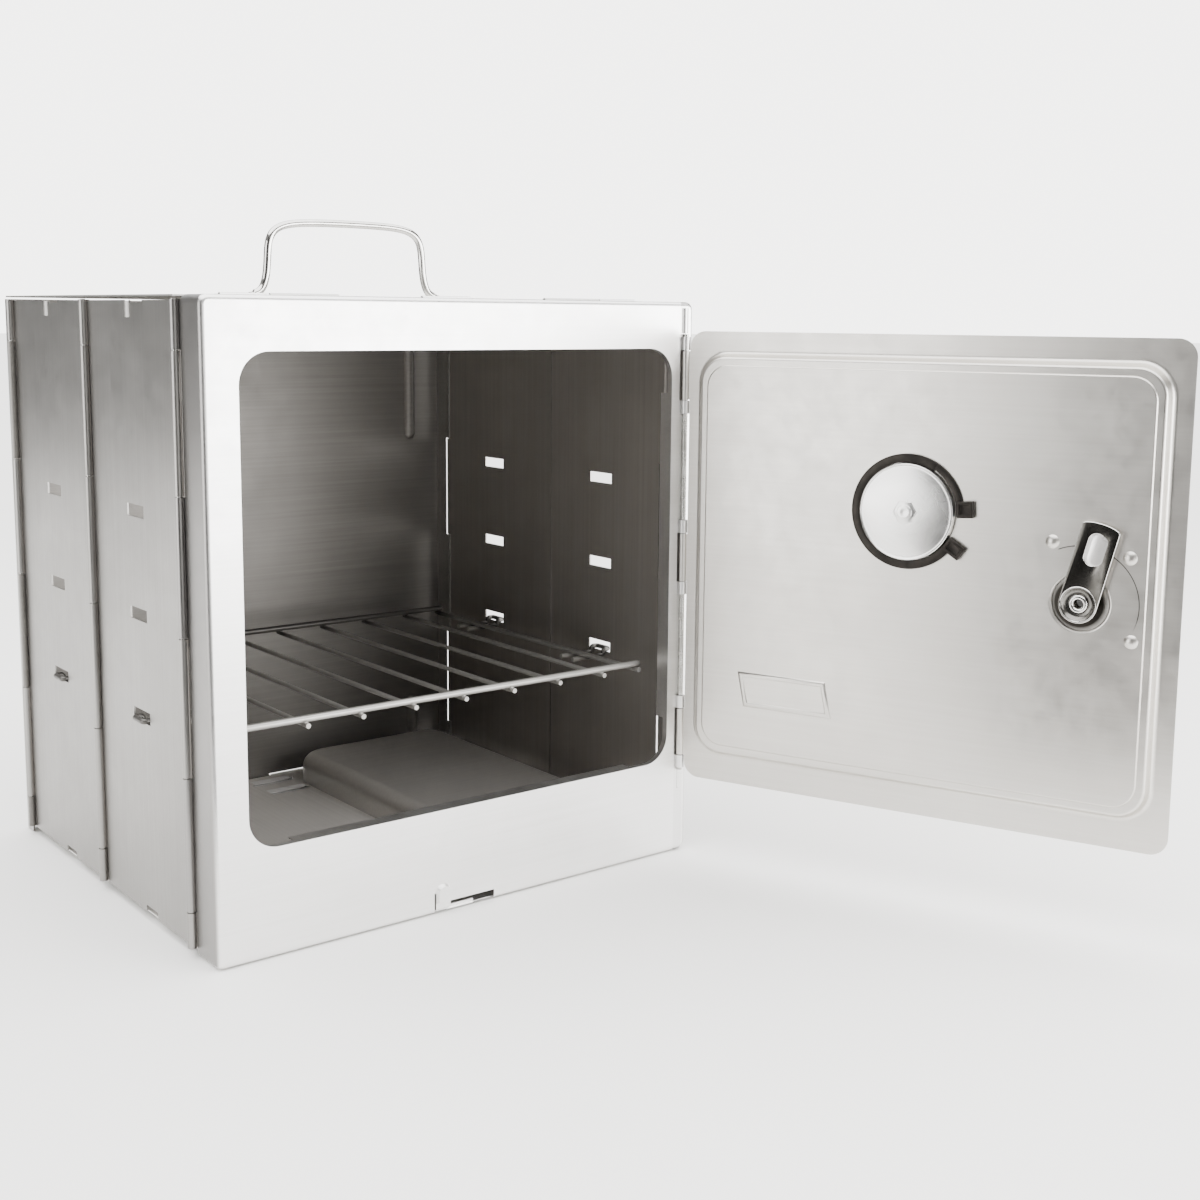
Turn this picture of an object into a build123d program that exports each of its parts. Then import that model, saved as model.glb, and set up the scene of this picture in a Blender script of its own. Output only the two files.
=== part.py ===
from build123d import *
import os
from math import cos, sin, radians

# Folding camp oven of thin sheet steel, set up, with its door open and one wire rack inside.
# Frame: origin in the middle of the front frame's underside, midway between the sides, +X to the
# right seen from the front, +Y to the back, +Z up. Every length is in millimetres.

# ---- driving sizes -------------------------------------------------------------------------
WIDTH = 282.0             # body, outside of the side sheets
DEPTH = 258.0             # front face to rear face
FACE_Y = -11.0            # front face
HEIGHT = 305.0            # base to the top of the front frame
SHEET = 0.8               # steel sheet
FRAME_DEPTH = 23.2        # front face to the front side hinges
BACK_DEPTH = 13.8         # rear side hinges to the rear face
SIDE_BOTTOM = 4.3         # lower edge of the side panels
SIDE_TOP = 302.5          # upper edge of the side panels
BACK_TOP = 303.2          # top of the back pan

PIN_R = 1.3               # upright hinge wires of the sides
PIN_FIT = 0.08            # radial running clearance of every hinge wire
KNUCKLE_GAP = 0.25        # half of the gap between neighbouring knuckles
EDGE_GAP = 0.72           # sheet edge to the neighbour's knuckle
LAP_GAP, LAP_SHEET = 0.3, 0.4   # cover strip inside the sides' middle hinges
KNUCKLE_Z = (303.0, 280.5, 215.5, 151.0, 86.0, 22.0, 4.3)   # knuckle ends, from the top

OPEN_W, OPEN_H = 250.0, 227.4   # front opening
OPEN_X, OPEN_Z = 1.4, 166.7     # its centre
OPEN_R = 15.0                   # its corner radius
FLANGE = 9.0                    # depth of the rolled flange round the opening
ROLL = 2.4                      # bend radius at the flange

DOOR_W = 262.0            # hinge axis to the free edge
DOOR_Z0, DOOR_Z1 = 44.3, 289.8
DOOR_R = 9.0
DOOR_X = 135.0            # hinge axis
DOOR_OUT = 1.25           # hinge axis in front of the face
DOOR_OPEN = 111.6         # how far it stands open
DOOR_PIN_R = 1.4
DOOR_STATIONS = ((253.0, 279.0), (154.0, 180.0), (56.0, 82.0))   # door knuckles
LOOP_L = 7.0              # frame loop above and below each of them
EMBOSS = 5.5              # raised field of the door, towards the oven
STEP = 0.8                # second step of the field
FIELD_S0, FIELD_S1 = 10.0, 253.0
FIELD_Z0, FIELD_Z1 = 60.0, 278.5
FIELD_R = 16.0
STEP_IN = 6.0             # second step's edge inside the first

THERMO_S, THERMO_Z = 129.3, 202.0
CASE_R = 24.5
CLAMP_R = 29.0
LATCH_S, LATCH_Z = 216.3, 164.0
ARM_L, ARM_W, ARM_T = 40.6, 17.4, 1.6
ARM_REST = 12.6           # arm's lean from upright, towards the free edge
SHAFT_R = 3.2
PLATE_S, PLATE_Z = 64.4, 98.75   # middle of the plain plate
BUMPS = ((-26.4, 31.9), (43.5, 32.3), (123.4, 29.5))   # angle and radius about the latch

RACK_W, RACK_Y0, RACK_Y1 = 242.0, 9.25, 218.0
RACK_X = 2.6              # its middle, right of the oven's
CROSS_R, SIDE_R, ROD_R = 1.75, 1.4, 1.25   # rack: cross wires, side wires, rods
RACK_RODS, ROD_X = 7, 7.0   # rods between the side wires, and their middle
ROD_PITCH = (RACK_W - 2.0) / (RACK_RODS + 1)
REST_R = 1.4              # wire rests in the side slots
REST_TIP = RACK_W / 2 - RACK_X - 2.6   # their inner ends, from the oven's middle
REST_HALF = 5.6           # half of the width of a rest's loop
REST_DROP = 3.2           # inner arms below the slot
SLOT_L, SLOT_H = 20.0, 6.0
SLOT_Z = (103.5, 153.5, 203.5)

TOP_PIN_R = 0.8
FLOOR_SHEET = 0.7
FLOOR_PIN_R = 1.0
FLOOR_PIN_Z = 2.0
COVER_X0, COVER_X1, COVER_Y0, COVER_Y1 = 22.0, 128.0, 62.0, 231.0
COVER_Z = 22.0
TONGUE_Y, TONGUE_X = (211.0, 232.5), 19.2   # tongues of the left floor sheet, over the floor's slots
LEFT_SKEW, SKEW_Y = 4.4, 126.0   # turn of its free edge from straight back, and where it starts
HANDLE_R = 2.0
HANDLE_RISE = 42.2
HANDLE_HALF = 47.3        # half of the spread of its legs
HANDLE_X, HANDLE_Y = 2.5, 118.0   # its middle

# ---- worked-out places ---------------------------------------------------------------------
XL, XR = -WIDTH / 2, WIDTH / 2
YF, YB = FACE_Y, FACE_Y + DEPTH
PIN_HOLE = PIN_R + PIN_FIT
KNUCKLE_R = PIN_HOLE + SHEET
EDGE = KNUCKLE_R + EDGE_GAP
AXIS_X = WIDTH / 2 + PIN_HOLE
Y1 = YF + FRAME_DEPTH
Y3 = YB - BACK_DEPTH
Y2 = (Y1 + Y3) / 2
DOOR_Y = YF - DOOR_OUT
DOOR_HOLE = DOOR_PIN_R + PIN_FIT
DOOR_KNUCKLE = DOOR_HOLE + SHEET
TOP_HOLE = TOP_PIN_R + PIN_FIT
TOP_KNUCKLE = TOP_HOLE + 0.7
TOP_Y, TOP_Z = Y1 + 2.4, HEIGHT - SHEET / 2
FLOOR_HOLE = FLOOR_PIN_R + PIN_FIT
FLOOR_KNUCKLE = FLOOR_HOLE + FLOOR_SHEET
FLOOR_Y = YB - SHEET / 2
FLOOR_Z = FLOOR_PIN_Z + FLOOR_HOLE
FLOOR_TOP = FLOOR_Z + FLOOR_SHEET
FIELD_N = SHEET / 2 + EMBOSS                  # sheet surface on the raised field
INNER_N = FIELD_N + STEP                      # and on its second step
REST_Z = SLOT_Z[0] - SLOT_H / 2 + REST_R + 0.02
SIDE_Z = REST_Z - REST_DROP + REST_R + 0.3 + SIDE_R   # rack's side wires, just over the rests
WELD = 0.03                                   # depth of the rack's welds
RACK_Z = SIDE_Z + SIDE_R + CROSS_R - WELD     # cross wires, on top of them

os.makedirs("parts", exist_ok=True)


def box(x0, x1, y0, y1, z0, z1):
    return Pos((x0 + x1) / 2, (y0 + y1) / 2, (z0 + z1) / 2) * Box(abs(x1 - x0), abs(y1 - y0), abs(z1 - z0))


def rod_z(x, y, z0, z1, r):
    return Pos(x, y, (z0 + z1) / 2) * Cylinder(r, z1 - z0)


def rod_x(x0, x1, y, z, r):
    return Pos((x0 + x1) / 2, y, z) * Rot(0, 90, 0) * Cylinder(r, x1 - x0)


def rod_y(x, y0, y1, z, r):
    return Pos(x, (y0 + y1) / 2, z) * Rot(90, 0, 0) * Cylinder(r, y1 - y0)


def slab_y(sketch, x, z, y0, y1, taper=0.0):
    """A flat shape in XZ, centred on x and z, raised from y0 to y1."""
    away = y1 > y0
    plane = Plane(origin=(x, y0, z), x_dir=(-1, 0, 0) if away else (1, 0, 0), z_dir=(0, 1 if away else -1, 0))
    return extrude(plane * sketch, amount=abs(y1 - y0), taper=taper)


def slab_z(sketch, x, y, z0, z1, taper=0.0):
    return extrude(Pos(x, y, z0) * sketch, amount=z1 - z0, taper=taper)


def save(name, *shapes):
    """Writes one node; several shapes become separate solids of it."""
    solids = [s for shape in shapes for s in shape.solids()]
    export_step(solids[0] if len(solids) == 1 else Compound(children=solids), f"parts/{name}.step")


def mirror_x(shape):
    return mirror(shape, about=Plane.YZ)


def knuckle_spans(own):
    """Z spans of the knuckles of one leaf: own is 0 for the forward leaf, 1 for the rearward one."""
    return [
        (KNUCKLE_Z[i + 1] + KNUCKLE_GAP, KNUCKLE_Z[i] - KNUCKLE_GAP)
        for i in range(own, len(KNUCKLE_Z) - 1, 2)
    ]


def add_knuckles(leaf, y, own, way):
    """Curls on the left leaf's edge at hinge line y; way is +1 where the leaf lies before the line."""
    spans = knuckle_spans(own)
    for z0, z1 in spans:
        leaf += box(XL, XL + SHEET, y - way * (EDGE + 0.5), y, z0, z1)
        leaf += rod_z(-AXIS_X, y, z0, z1, KNUCKLE_R)
    for z0, z1 in spans:
        leaf -= rod_z(-AXIS_X, y, z0 - 1, z1 + 1, PIN_HOLE)
    return leaf


# ---- front frame: a pan with the opening, its flange, hinge loops and floor slot -----------
outer = box(XL, XR, YF, Y1 - EDGE, 0, HEIGHT)
outer = fillet(outer.edges().filter_by(Axis.Y), 4.0)
outer = fillet(outer.faces().sort_by(Axis.Y)[0].edges(), 2.4)
inner = box(XL + SHEET, XR - SHEET, YF + SHEET, Y1, SHEET, HEIGHT - SHEET)
inner = fillet(inner.edges().filter_by(Axis.Y), 4.0 - SHEET)
inner = fillet(inner.faces().sort_by(Axis.Y)[0].edges(), 2.4 - SHEET)
frame = outer - inner
opening = RectangleRounded(OPEN_W, OPEN_H, OPEN_R)
flange_rim = RectangleRounded(OPEN_W + 2 * SHEET, OPEN_H + 2 * SHEET, OPEN_R + SHEET)
roll_rim = RectangleRounded(OPEN_W + 2 * ROLL, OPEN_H + 2 * ROLL, OPEN_R + ROLL)
frame += slab_y(flange_rim, OPEN_X, OPEN_Z, YF, YF + FLANGE)
frame += slab_y(roll_rim, OPEN_X, OPEN_Z, YF + 0.4, YF + ROLL + 0.2, taper=38)
frame -= slab_y(opening, OPEN_X, OPEN_Z, YF - 1, YF + FLANGE + 1)
for sx in (-1, 1):
    for sz in (-1, 1):
        cx, cz = OPEN_X + sx * OPEN_W / 2, OPEN_Z + sz * OPEN_H / 2
        frame -= box(cx - sx * 24, cx + sx * 4, YF + ROLL + 1.2, YF + FLANGE + 1, cz - sz * 24, cz + sz * 4)

# hinge loops for the door pin, with a window between each pair
for z0, z1 in DOOR_STATIONS:
    for a, b in ((z1 + 0.5, z1 + 0.5 + LOOP_L), (z0 - 0.5 - LOOP_L, z0 - 0.5)):
        frame += rod_z(DOOR_X, DOOR_Y, a, b, DOOR_KNUCKLE)
        frame += box(DOOR_X - DOOR_KNUCKLE, DOOR_X + DOOR_KNUCKLE, DOOR_Y, YF + SHEET / 2, a, b)
    frame -= box(
        DOOR_X - DOOR_KNUCKLE - 0.8, DOOR_X + DOOR_KNUCKLE + 0.8, YF - 1, YF + SHEET + 2,
        z0 - 0.5, z1 + 0.5,
    )
frame -= rod_z(DOOR_X, DOOR_Y, DOOR_STATIONS[2][0] - 20, DOOR_STATIONS[0][1] + 20, DOOR_HOLE)
# half-round bead above the top loop, in line with the wire
frame += rod_z(DOOR_X, YF + 0.3, DOOR_STATIONS[0][1] + 9.5, HEIGHT - 3.2, 1.9) & box(
    DOOR_X - 3, DOOR_X + 3, YF - 3, YF + SHEET / 2, DOOR_STATIONS[0][1], HEIGHT
)

# bulged finger over the floor slot
CATCH_X, CATCH_W, CATCH_TOP = -19.5, 9.0, 14.8
finger = Pos(0, -2.6) * Rectangle(CATCH_W, 5.2) + Circle(CATCH_W / 2)
bulge = slab_y(finger, CATCH_X, CATCH_TOP - CATCH_W / 2, YF + 0.1, YF - 1.9, taper=24)
hollow = slab_y(finger, CATCH_X, CATCH_TOP - CATCH_W / 2, YF + 0.9, YF - 1.1, taper=24)
frame = frame + bulge - hollow
frame -= box(CATCH_X + CATCH_W / 2 - 0.4, CATCH_X + 30.5, YF - 3, YF + SHEET + 1, SHEET, 5.0)
frame -= box(CATCH_X - CATCH_W / 2 - 0.9, CATCH_X + CATCH_W / 2, YF - 3, YF + SHEET + 1, SHEET, 1.9)
frame -= box(CATCH_X - CATCH_W / 2 - 0.9, CATCH_X - CATCH_W / 2, YF - 3, YF + SHEET + 1, SHEET, 10.5)

# side hinge curls, left and right
left_half = add_knuckles(box(XL, XL + SHEET, Y1 - EDGE - 1, Y1 - EDGE, 30, 31), Y1, 0, 1)
frame = frame + left_half + mirror_x(left_half)

# curls of the top panel's hinge, on the rear edge of the top return
FRAME_TOP_SPANS = ((-120, -96), (-14, 14), (96, 120))
for x0, x1 in FRAME_TOP_SPANS:
    frame += box(x0, x1, Y1 - EDGE - 1, TOP_Y, HEIGHT - SHEET, HEIGHT)
    frame += rod_x(x0, x1, TOP_Y, TOP_Z, TOP_KNUCKLE)
for x0, x1 in FRAME_TOP_SPANS:
    frame -= rod_x(x0 - 1, x1 + 1, TOP_Y, TOP_Z, TOP_HOLE)
save("front_frame", frame)

# keeper strip behind the floor slot, resting on the bottom return
save("floor_keeper", box(CATCH_X + 3.5, CATCH_X + 19, YF + 2.5, YF + 3.3, SHEET, 2.2))

# ---- hinge wires ---------------------------------------------------------------------------
upright = rod_z(-AXIS_X, 0, SIDE_BOTTOM + 0.1, KNUCKLE_Z[0] + 0.1, PIN_R)
for name, y in (("front_side_pins", Y1), ("rear_side_pins", Y3)):
    wire = Pos(0, y, 0) * upright
    save(name, wire, mirror_x(wire))
save("left_mid_pin", Pos(0, Y2, 0) * upright)
save("right_mid_pin", mirror_x(Pos(0, Y2, 0) * upright))
save("door_pin", rod_z(DOOR_X, DOOR_Y, DOOR_STATIONS[2][0] - 9.0, DOOR_STATIONS[0][1] + 9.0, DOOR_PIN_R))
save("top_pin", rod_x(-122, 122, TOP_Y, TOP_Z, TOP_PIN_R))
save("floor_pin", rod_x(-127, 127, FLOOR_Y, FLOOR_PIN_Z, FLOOR_PIN_R))


# ---- side panels: two leaves a side, slotted for the rack ----------------------------------
def side_panel(ya, yb):
    """Left-hand leaf between the hinge lines ya and yb."""
    mid = (ya + yb) / 2
    leaf = box(XL, XL + SHEET, ya + EDGE, yb - EDGE, SIDE_BOTTOM, SIDE_TOP)
    for z in SLOT_Z:
        leaf -= box(XL - 1, XL + SHEET + 1, mid - SLOT_L / 2, mid + SLOT_L / 2, z - SLOT_H / 2, z + SLOT_H / 2)
    # shallow notch, and a nib bulged outwards at the top edge, that hold the top panel down
    leaf -= box(XL - 1, XL + SHEET + 1, mid - 15.7, mid - 0.4, SIDE_TOP - 1.2, SIDE_TOP + 1)
    nib = rod_z(XL + 2.9, mid + 2.7, SIDE_TOP - 8.0, SIDE_TOP - 0.4, 4.4)
    nib -= rod_z(XL + 2.9, mid + 2.7, SIDE_TOP - 7.2, SIDE_TOP + 1, 3.6)
    leaf -= box(XL - 1, XL + SHEET + 1, mid - 0.3, mid + 5.7, SIDE_TOP - 7.2, SIDE_TOP + 1)
    leaf += nib & box(XL - 2, XL + 0.9 * SHEET, mid - 4, mid + 9, SIDE_TOP - 9, SIDE_TOP)
    leaf -= box(XL - 1, XL + SHEET + 1, mid - 12, mid + 2, SIDE_BOTTOM - 1, SIDE_BOTTOM + 3)
    leaf = add_knuckles(leaf, ya, 1, -1)
    return add_knuckles(leaf, yb, 0, 1)


front_leaf, rear_leaf = side_panel(Y1, Y2), side_panel(Y2, Y3)
# thin strip inside the middle hinge, joggled off the front leaf to cover the gap behind the curls
for y0, y1, x0 in ((Y2 - EDGE - 3.6, Y2 - EDGE - 0.8, -0.1), (Y2 - EDGE - 3.6, Y2 + EDGE + 2.0, LAP_GAP)):
    front_leaf += box(XL + SHEET + x0, XL + SHEET + LAP_GAP + LAP_SHEET, y0, y1, SIDE_BOTTOM + 4, SIDE_TOP - 4)
save("left_front_panel", front_leaf)
save("left_rear_panel", rear_leaf)
save("right_front_panel", mirror_x(front_leaf))
save("right_rear_panel", mirror_x(rear_leaf))


def rack_rest(y):
    """Left-hand wire rest: a loop out through the lowest slot, cranked down to two arms inside."""
    out_x, in_x, low = XL - REST_R - 0.2, XL + SHEET + REST_R + 0.35, REST_Z - REST_DROP
    half = [
        (-REST_TIP, y - REST_HALF, low), (in_x, y - REST_HALF, low),
        (in_x, y - REST_HALF, REST_Z), (out_x, y - REST_HALF, REST_Z),
    ]
    path = FilletPolyline(*half, *[(px, 2 * y - py, pz) for px, py, pz in reversed(half)], radius=REST_R + 0.1)
    return sweep(Plane(origin=path @ 0, z_dir=path % 0) * Circle(REST_R), path=path)


for name, y in (("front", (Y1 + Y2) / 2), ("rear", (Y2 + Y3) / 2)):
    rest = rack_rest(y)
    save(f"left_{name}_rest", rest)
    save(f"right_{name}_rest", mirror_x(rest))

# ---- back pan: rear wall with side and top returns, corner beads and floor hinge curls ------
back = box(XL, XR, Y3 + EDGE, YB, 0, BACK_TOP)
back = fillet(back.edges().filter_by(Axis.Z).group_by(Axis.Y)[-1], 2.0)
back -= box(XL + SHEET, XR - SHEET, Y3, YB - SHEET, -1, BACK_TOP - SHEET)
back -= box(XL + 3, XR - 3, YB - 4, YB + 1, -1, FLOOR_PIN_Z + FLOOR_KNUCKLE + 0.7)
for sx in (-1, 1):
    for z0, z1 in ((14.0, 42.0), (214.0, 296.0)):
        x, yc = sx * 118.7, YB + 2.2
        bead = rod_z(x, yc, z0 + 5, z1 - 5, 5.0)
        bead += Pos(x, yc, z0 + 5) * Sphere(5.0) + Pos(x, yc, z1 - 5) * Sphere(5.0)
        core = rod_z(x, yc, z0 + 5, z1 - 5, 4.2)
        core += Pos(x, yc, z0 + 5) * Sphere(4.2) + Pos(x, yc, z1 - 5) * Sphere(4.2)
        back = back + (bead & box(x - 9, x + 9, YB - 8, YB - 0.1, z0 - 2, z1 + 2)) - core
back_left = add_knuckles(box(XL, XL + SHEET, Y3 + EDGE, Y3 + EDGE + 1, 60, 61), Y3, 1, -1)
back = back + back_left + mirror_x(back_left)
BACK_FLOOR_SPANS = ((-125, -100), (-12, 12), (100, 125))
for x0, x1 in BACK_FLOOR_SPANS:
    back += box(x0, x1, YB - SHEET, YB, FLOOR_PIN_Z + FLOOR_HOLE, FLOOR_PIN_Z + FLOOR_KNUCKLE + 2)
    back += rod_x(x0, x1, FLOOR_Y, FLOOR_PIN_Z, FLOOR_KNUCKLE)
for x0, x1 in BACK_FLOOR_SPANS:
    back -= rod_x(x0 - 1, x1 + 1, FLOOR_Y, FLOOR_PIN_Z, FLOOR_HOLE)
save("back_pan", back)

# ---- top panel with the carry handle -------------------------------------------------------
top = box(XL, XR, TOP_Y + 2.0, YB, HEIGHT - SHEET, HEIGHT)
top = fillet(top.edges().filter_by(Axis.Z).group_by(Axis.Y)[-1], 4.0)
for x0, x1 in ((-95.5, -60.0), (60.0, 95.5)):
    top += box(x0, x1, TOP_Y, TOP_Y + 3, HEIGHT - SHEET, HEIGHT)
    top += rod_x(x0, x1, TOP_Y, TOP_Z, TOP_KNUCKLE)
    top -= rod_x(x0 - 1, x1 + 1, TOP_Y, TOP_Z, TOP_HOLE)
save("top_panel", top)

hz, rise = HEIGHT + HANDLE_R, HANDLE_RISE - 2 * HANDLE_R
half = [
    (-HANDLE_HALF - 11, 0), (-HANDLE_HALF, 0), (-HANDLE_HALF, rise - 4.3), (-30, rise - 1.2), (-10, rise),
]
path = FilletPolyline(*[(HANDLE_X + u, HANDLE_Y, hz + w) for u, w in half + [(-u, w) for u, w in reversed(half)]], radius=9.0)
handle = sweep(Plane(origin=path @ 0, z_dir=path % 0) * Circle(HANDLE_R), path=path)
for sx in (-1, 1):
    handle += box(
        HANDLE_X + sx * (HANDLE_HALF + 9), HANDLE_X + sx * (HANDLE_HALF + 22), HANDLE_Y - 3.2, HANDLE_Y + 3.2,
        HEIGHT, HEIGHT + 1.4,
    )
save("carry_handle", handle)

# ---- floor: hinged sheet with the burner hole, the overlapping left sheet and the raised cover
floor = box(XL + 1.6, XR - 1.6, Y1 - EDGE + 0.9, FLOOR_Y - 2.6, FLOOR_Z, FLOOR_TOP)
hole = RectangleRounded(COVER_X1 - COVER_X0 - 20, COVER_Y1 - COVER_Y0 - 20, 14)
COVER_CX, COVER_CY = (COVER_X0 + COVER_X1) / 2, (COVER_Y0 + COVER_Y1) / 2
floor -= slab_z(hole, COVER_CX, COVER_CY, FLOOR_Z - 1, FLOOR_TOP + 1)
for y in TONGUE_Y:
    floor -= slab_z(SlotOverall(67, 11), COVER_X0 - 34.2, y, FLOOR_Z - 1, FLOOR_TOP + 1)
for x0, x1 in ((-98, -75), (-37, -13), (13, 37), (75, 98)):
    floor += box(x0, x1, FLOOR_Y - 3.2, FLOOR_Y, FLOOR_Z, FLOOR_TOP)
    floor += rod_x(x0, x1, FLOOR_Y, FLOOR_PIN_Z, FLOOR_KNUCKLE)
    floor -= rod_x(x0 - 1, x1 + 1, FLOOR_Y, FLOOR_PIN_Z, FLOOR_HOLE)
save("floor_panel", floor)
left_sheet = box(-132, -1, Y1 + 2, FLOOR_Y - 6, FLOOR_TOP, FLOOR_TOP + FLOOR_SHEET)
left_sheet -= Pos(0, SKEW_Y, 0) * Rot(0, 0, LEFT_SKEW) * box(0, 30, -200, 200, FLOOR_TOP - 1, FLOOR_TOP + 2)
for y in TONGUE_Y:
    tongue = box(-14, TONGUE_X, y - 3, y + 3, FLOOR_TOP, FLOOR_TOP + FLOOR_SHEET)
    left_sheet += fillet(tongue.edges().filter_by(Axis.Z).group_by(Axis.X)[-1], 2.9)
save("floor_left_sheet", left_sheet)

cover_l, cover_w = COVER_Y1 - COVER_Y0, COVER_X1 - COVER_X0
lid = box(COVER_X0, COVER_X1, COVER_Y0, COVER_Y1, FLOOR_TOP, COVER_Z)
lid = fillet(lid.edges().filter_by(Axis.Z), 16.0)
lid = fillet(lid.faces().sort_by(Axis.Z)[-1].edges(), 9.0)
void = box(COVER_X0 + 0.8, COVER_X1 - 0.8, COVER_Y0 + 0.8, COVER_Y1 - 0.8, FLOOR_TOP - 1, COVER_Z - 0.8)
void = fillet(void.edges().filter_by(Axis.Z), 15.2)
void = fillet(void.faces().sort_by(Axis.Z)[-1].edges(), 8.2)
flange = slab_z(RectangleRounded(cover_w, cover_l, 16), COVER_CX, COVER_CY, FLOOR_TOP, FLOOR_TOP + 0.8)
flange -= slab_z(RectangleRounded(cover_w - 14, cover_l - 14, 9), COVER_CX, COVER_CY, FLOOR_TOP - 1, FLOOR_TOP + 2)
save("burner_cover", lid - void + flange)

# ---- rack: two cross wires on top, side wires and rods welded beneath them -------------------
ry0, ry1 = RACK_Y0 + CROSS_R, RACK_Y1 - CROSS_R
rack = [rod_x(RACK_X - RACK_W / 2, RACK_X + RACK_W / 2, y, RACK_Z, CROSS_R) for y in (ry0, ry1)]
rack += [
    rod_y(RACK_X + side * (RACK_W / 2 - SIDE_R - 0.6), RACK_Y0 - 1.5, RACK_Y1 + 1.0, SIDE_Z, SIDE_R) for side in (-1, 1)
]
save("rack_frame", rack[0] + rack[1] + rack[2] + rack[3])
rod_zc = RACK_Z - CROSS_R - ROD_R + 0.01
first = ROD_X - ROD_PITCH * (RACK_RODS - 1) / 2
save("rack_rods", *[
    rod_y(first + i * ROD_PITCH, RACK_Y0 - 1.5, RACK_Y1 + 1.0, rod_zc, ROD_R) for i in range(RACK_RODS)
])


# ---- door, modelled shut and then swung open ------------------------------------------------
def swing(shape):
    """From the shut place to the open one, about the door pin."""
    return Pos(DOOR_X, DOOR_Y, 0) * Rot(0, 0, DOOR_OPEN) * Pos(-DOOR_X, -DOOR_Y, 0) * shape


def sx(s):
    return DOOR_X - s


def ny(n):
    return DOOR_Y + n


def raised(s0, s1, z0, z1, r, n0, n1, taper):
    """A tapered boss on the door between two heights."""
    return slab_y(RectangleRounded(s1 - s0, z1 - z0, r), sx((s0 + s1) / 2), (z0 + z1) / 2, ny(n0), ny(n1), taper)


def level_edges(shape, y):
    """Edges that lie flat at one distance from the door's plane."""
    return [e for e in shape.edges() if max(abs(e.bounding_box().min.Y - y), abs(e.bounding_box().max.Y - y)) < 0.02]


def pressing(grow, base, first, second, r_foot, r_brow, r_top):
    """Solid filled up to the pressed field's surface, grown sideways, with its bends softened."""
    block = RectangleRounded(DOOR_W + 80, DOOR_Z1 - DOOR_Z0 + 80, 40)
    body = slab_y(block, sx(DOOR_W / 2), (DOOR_Z0 + DOOR_Z1) / 2, ny(-3), ny(base))
    body += raised(
        FIELD_S0 - grow, FIELD_S1 + grow, FIELD_Z0 - grow, FIELD_Z1 + grow, FIELD_R + grow, base, first, 24
    )
    inset = STEP_IN - grow
    body += raised(
        FIELD_S0 + inset, FIELD_S1 - inset, FIELD_Z0 + inset, FIELD_Z1 - inset, FIELD_R - 4 + grow,
        first - 0.1, second, 35,
    )
    foot = [
        e for e in level_edges(body, ny(base))
        if e.bounding_box().min.Z > FIELD_Z0 - 3 and e.bounding_box().max.Z < FIELD_Z1 + 3
        and e.bounding_box().min.X > sx(FIELD_S1 + 3) and e.bounding_box().max.X < sx(FIELD_S0 - 3)
    ]
    body = fillet(foot, r_foot)
    brow = [
        e for e in level_edges(body, ny(first))
        if e.bounding_box().min.X < sx(FIELD_S1 - inset) - 0.05 or e.bounding_box().max.X > sx(FIELD_S0 + inset) + 0.05
    ]
    body = fillet(brow, r_brow)
    return fillet(level_edges(body, ny(second)), r_top)


t = SHEET
outline = RectangleRounded(DOOR_W - 2.8, DOOR_Z1 - DOOR_Z0, DOOR_R)
door = slab_y(outline, sx((DOOR_W + 2.8) / 2), (DOOR_Z0 + DOOR_Z1) / 2, ny(-t / 2), ny(INNER_N + 1))
door = (door & pressing(0, t / 2, FIELD_N, INNER_N, 2.5, 1.6, 0.8)) - pressing(
    -0.7, -t / 2, FIELD_N - t, INNER_N - t, 3.2, 0.8, 0.8
)
# seat of the thermometer, and the dished seat of the latch
door -= rod_y(sx(THERMO_S), ny(-5), ny(INNER_N + 5), THERMO_Z, CASE_R + 0.15)
DISH = 2.0
door -= rod_y(sx(LATCH_S), ny(INNER_N - t - 1), ny(INNER_N + 1), LATCH_Z, 14.0)
door += rod_y(sx(LATCH_S), ny(INNER_N - DISH - t), ny(INNER_N), LATCH_Z, 14.3)
door -= rod_y(sx(LATCH_S), ny(INNER_N - DISH), ny(INNER_N + 1), LATCH_Z, 13.5)
rim = [e for e in level_edges(door, ny(INNER_N)) if e.geom_type == GeomType.CIRCLE and abs(e.radius - 13.5) < 0.01]
door = fillet(rim, 1.4)
door -= rod_y(sx(LATCH_S), ny(INNER_N - 6), ny(INNER_N + 1), LATCH_Z, SHAFT_R + PIN_FIT)
for angle, radius in BUMPS:
    s, z = LATCH_S + radius * sin(radians(angle)), LATCH_Z + radius * cos(radians(angle))
    door += Pos(sx(s), ny(INNER_N - 3.6), z) * Sphere(4.9) & box(sx(s) - 6, sx(s) + 6, ny(INNER_N - 0.3), ny(INNER_N + 3), z - 6, z + 6)
# plain raised plate low on the field, leaning to the free edge, with a border round its sunk middle
plate = Polygon((-26.4, 8.9), (22.8, 8.9), (26.4, -8.9), (-22.2, -8.9), align=None)
plate = fillet(plate.vertices(), 1.4)
door += slab_y(plate, sx(PLATE_S), PLATE_Z, ny(INNER_N - 0.2), ny(INNER_N + 0.9), 20)
door -= slab_y(offset(plate, -2.2), sx(PLATE_S), PLATE_Z, ny(INNER_N + 0.35), ny(INNER_N + 1.2), -20)
for z0, z1 in DOOR_STATIONS:
    door += box(sx(3.4), DOOR_X, ny(-t / 2), ny(t / 2), z0, z1)
    door += rod_z(DOOR_X, DOOR_Y, z0, z1, DOOR_KNUCKLE)
    door -= rod_z(DOOR_X, DOOR_Y, z0 - 1, z1 + 1, DOOR_HOLE)
save("door_panel", swing(door))

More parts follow.
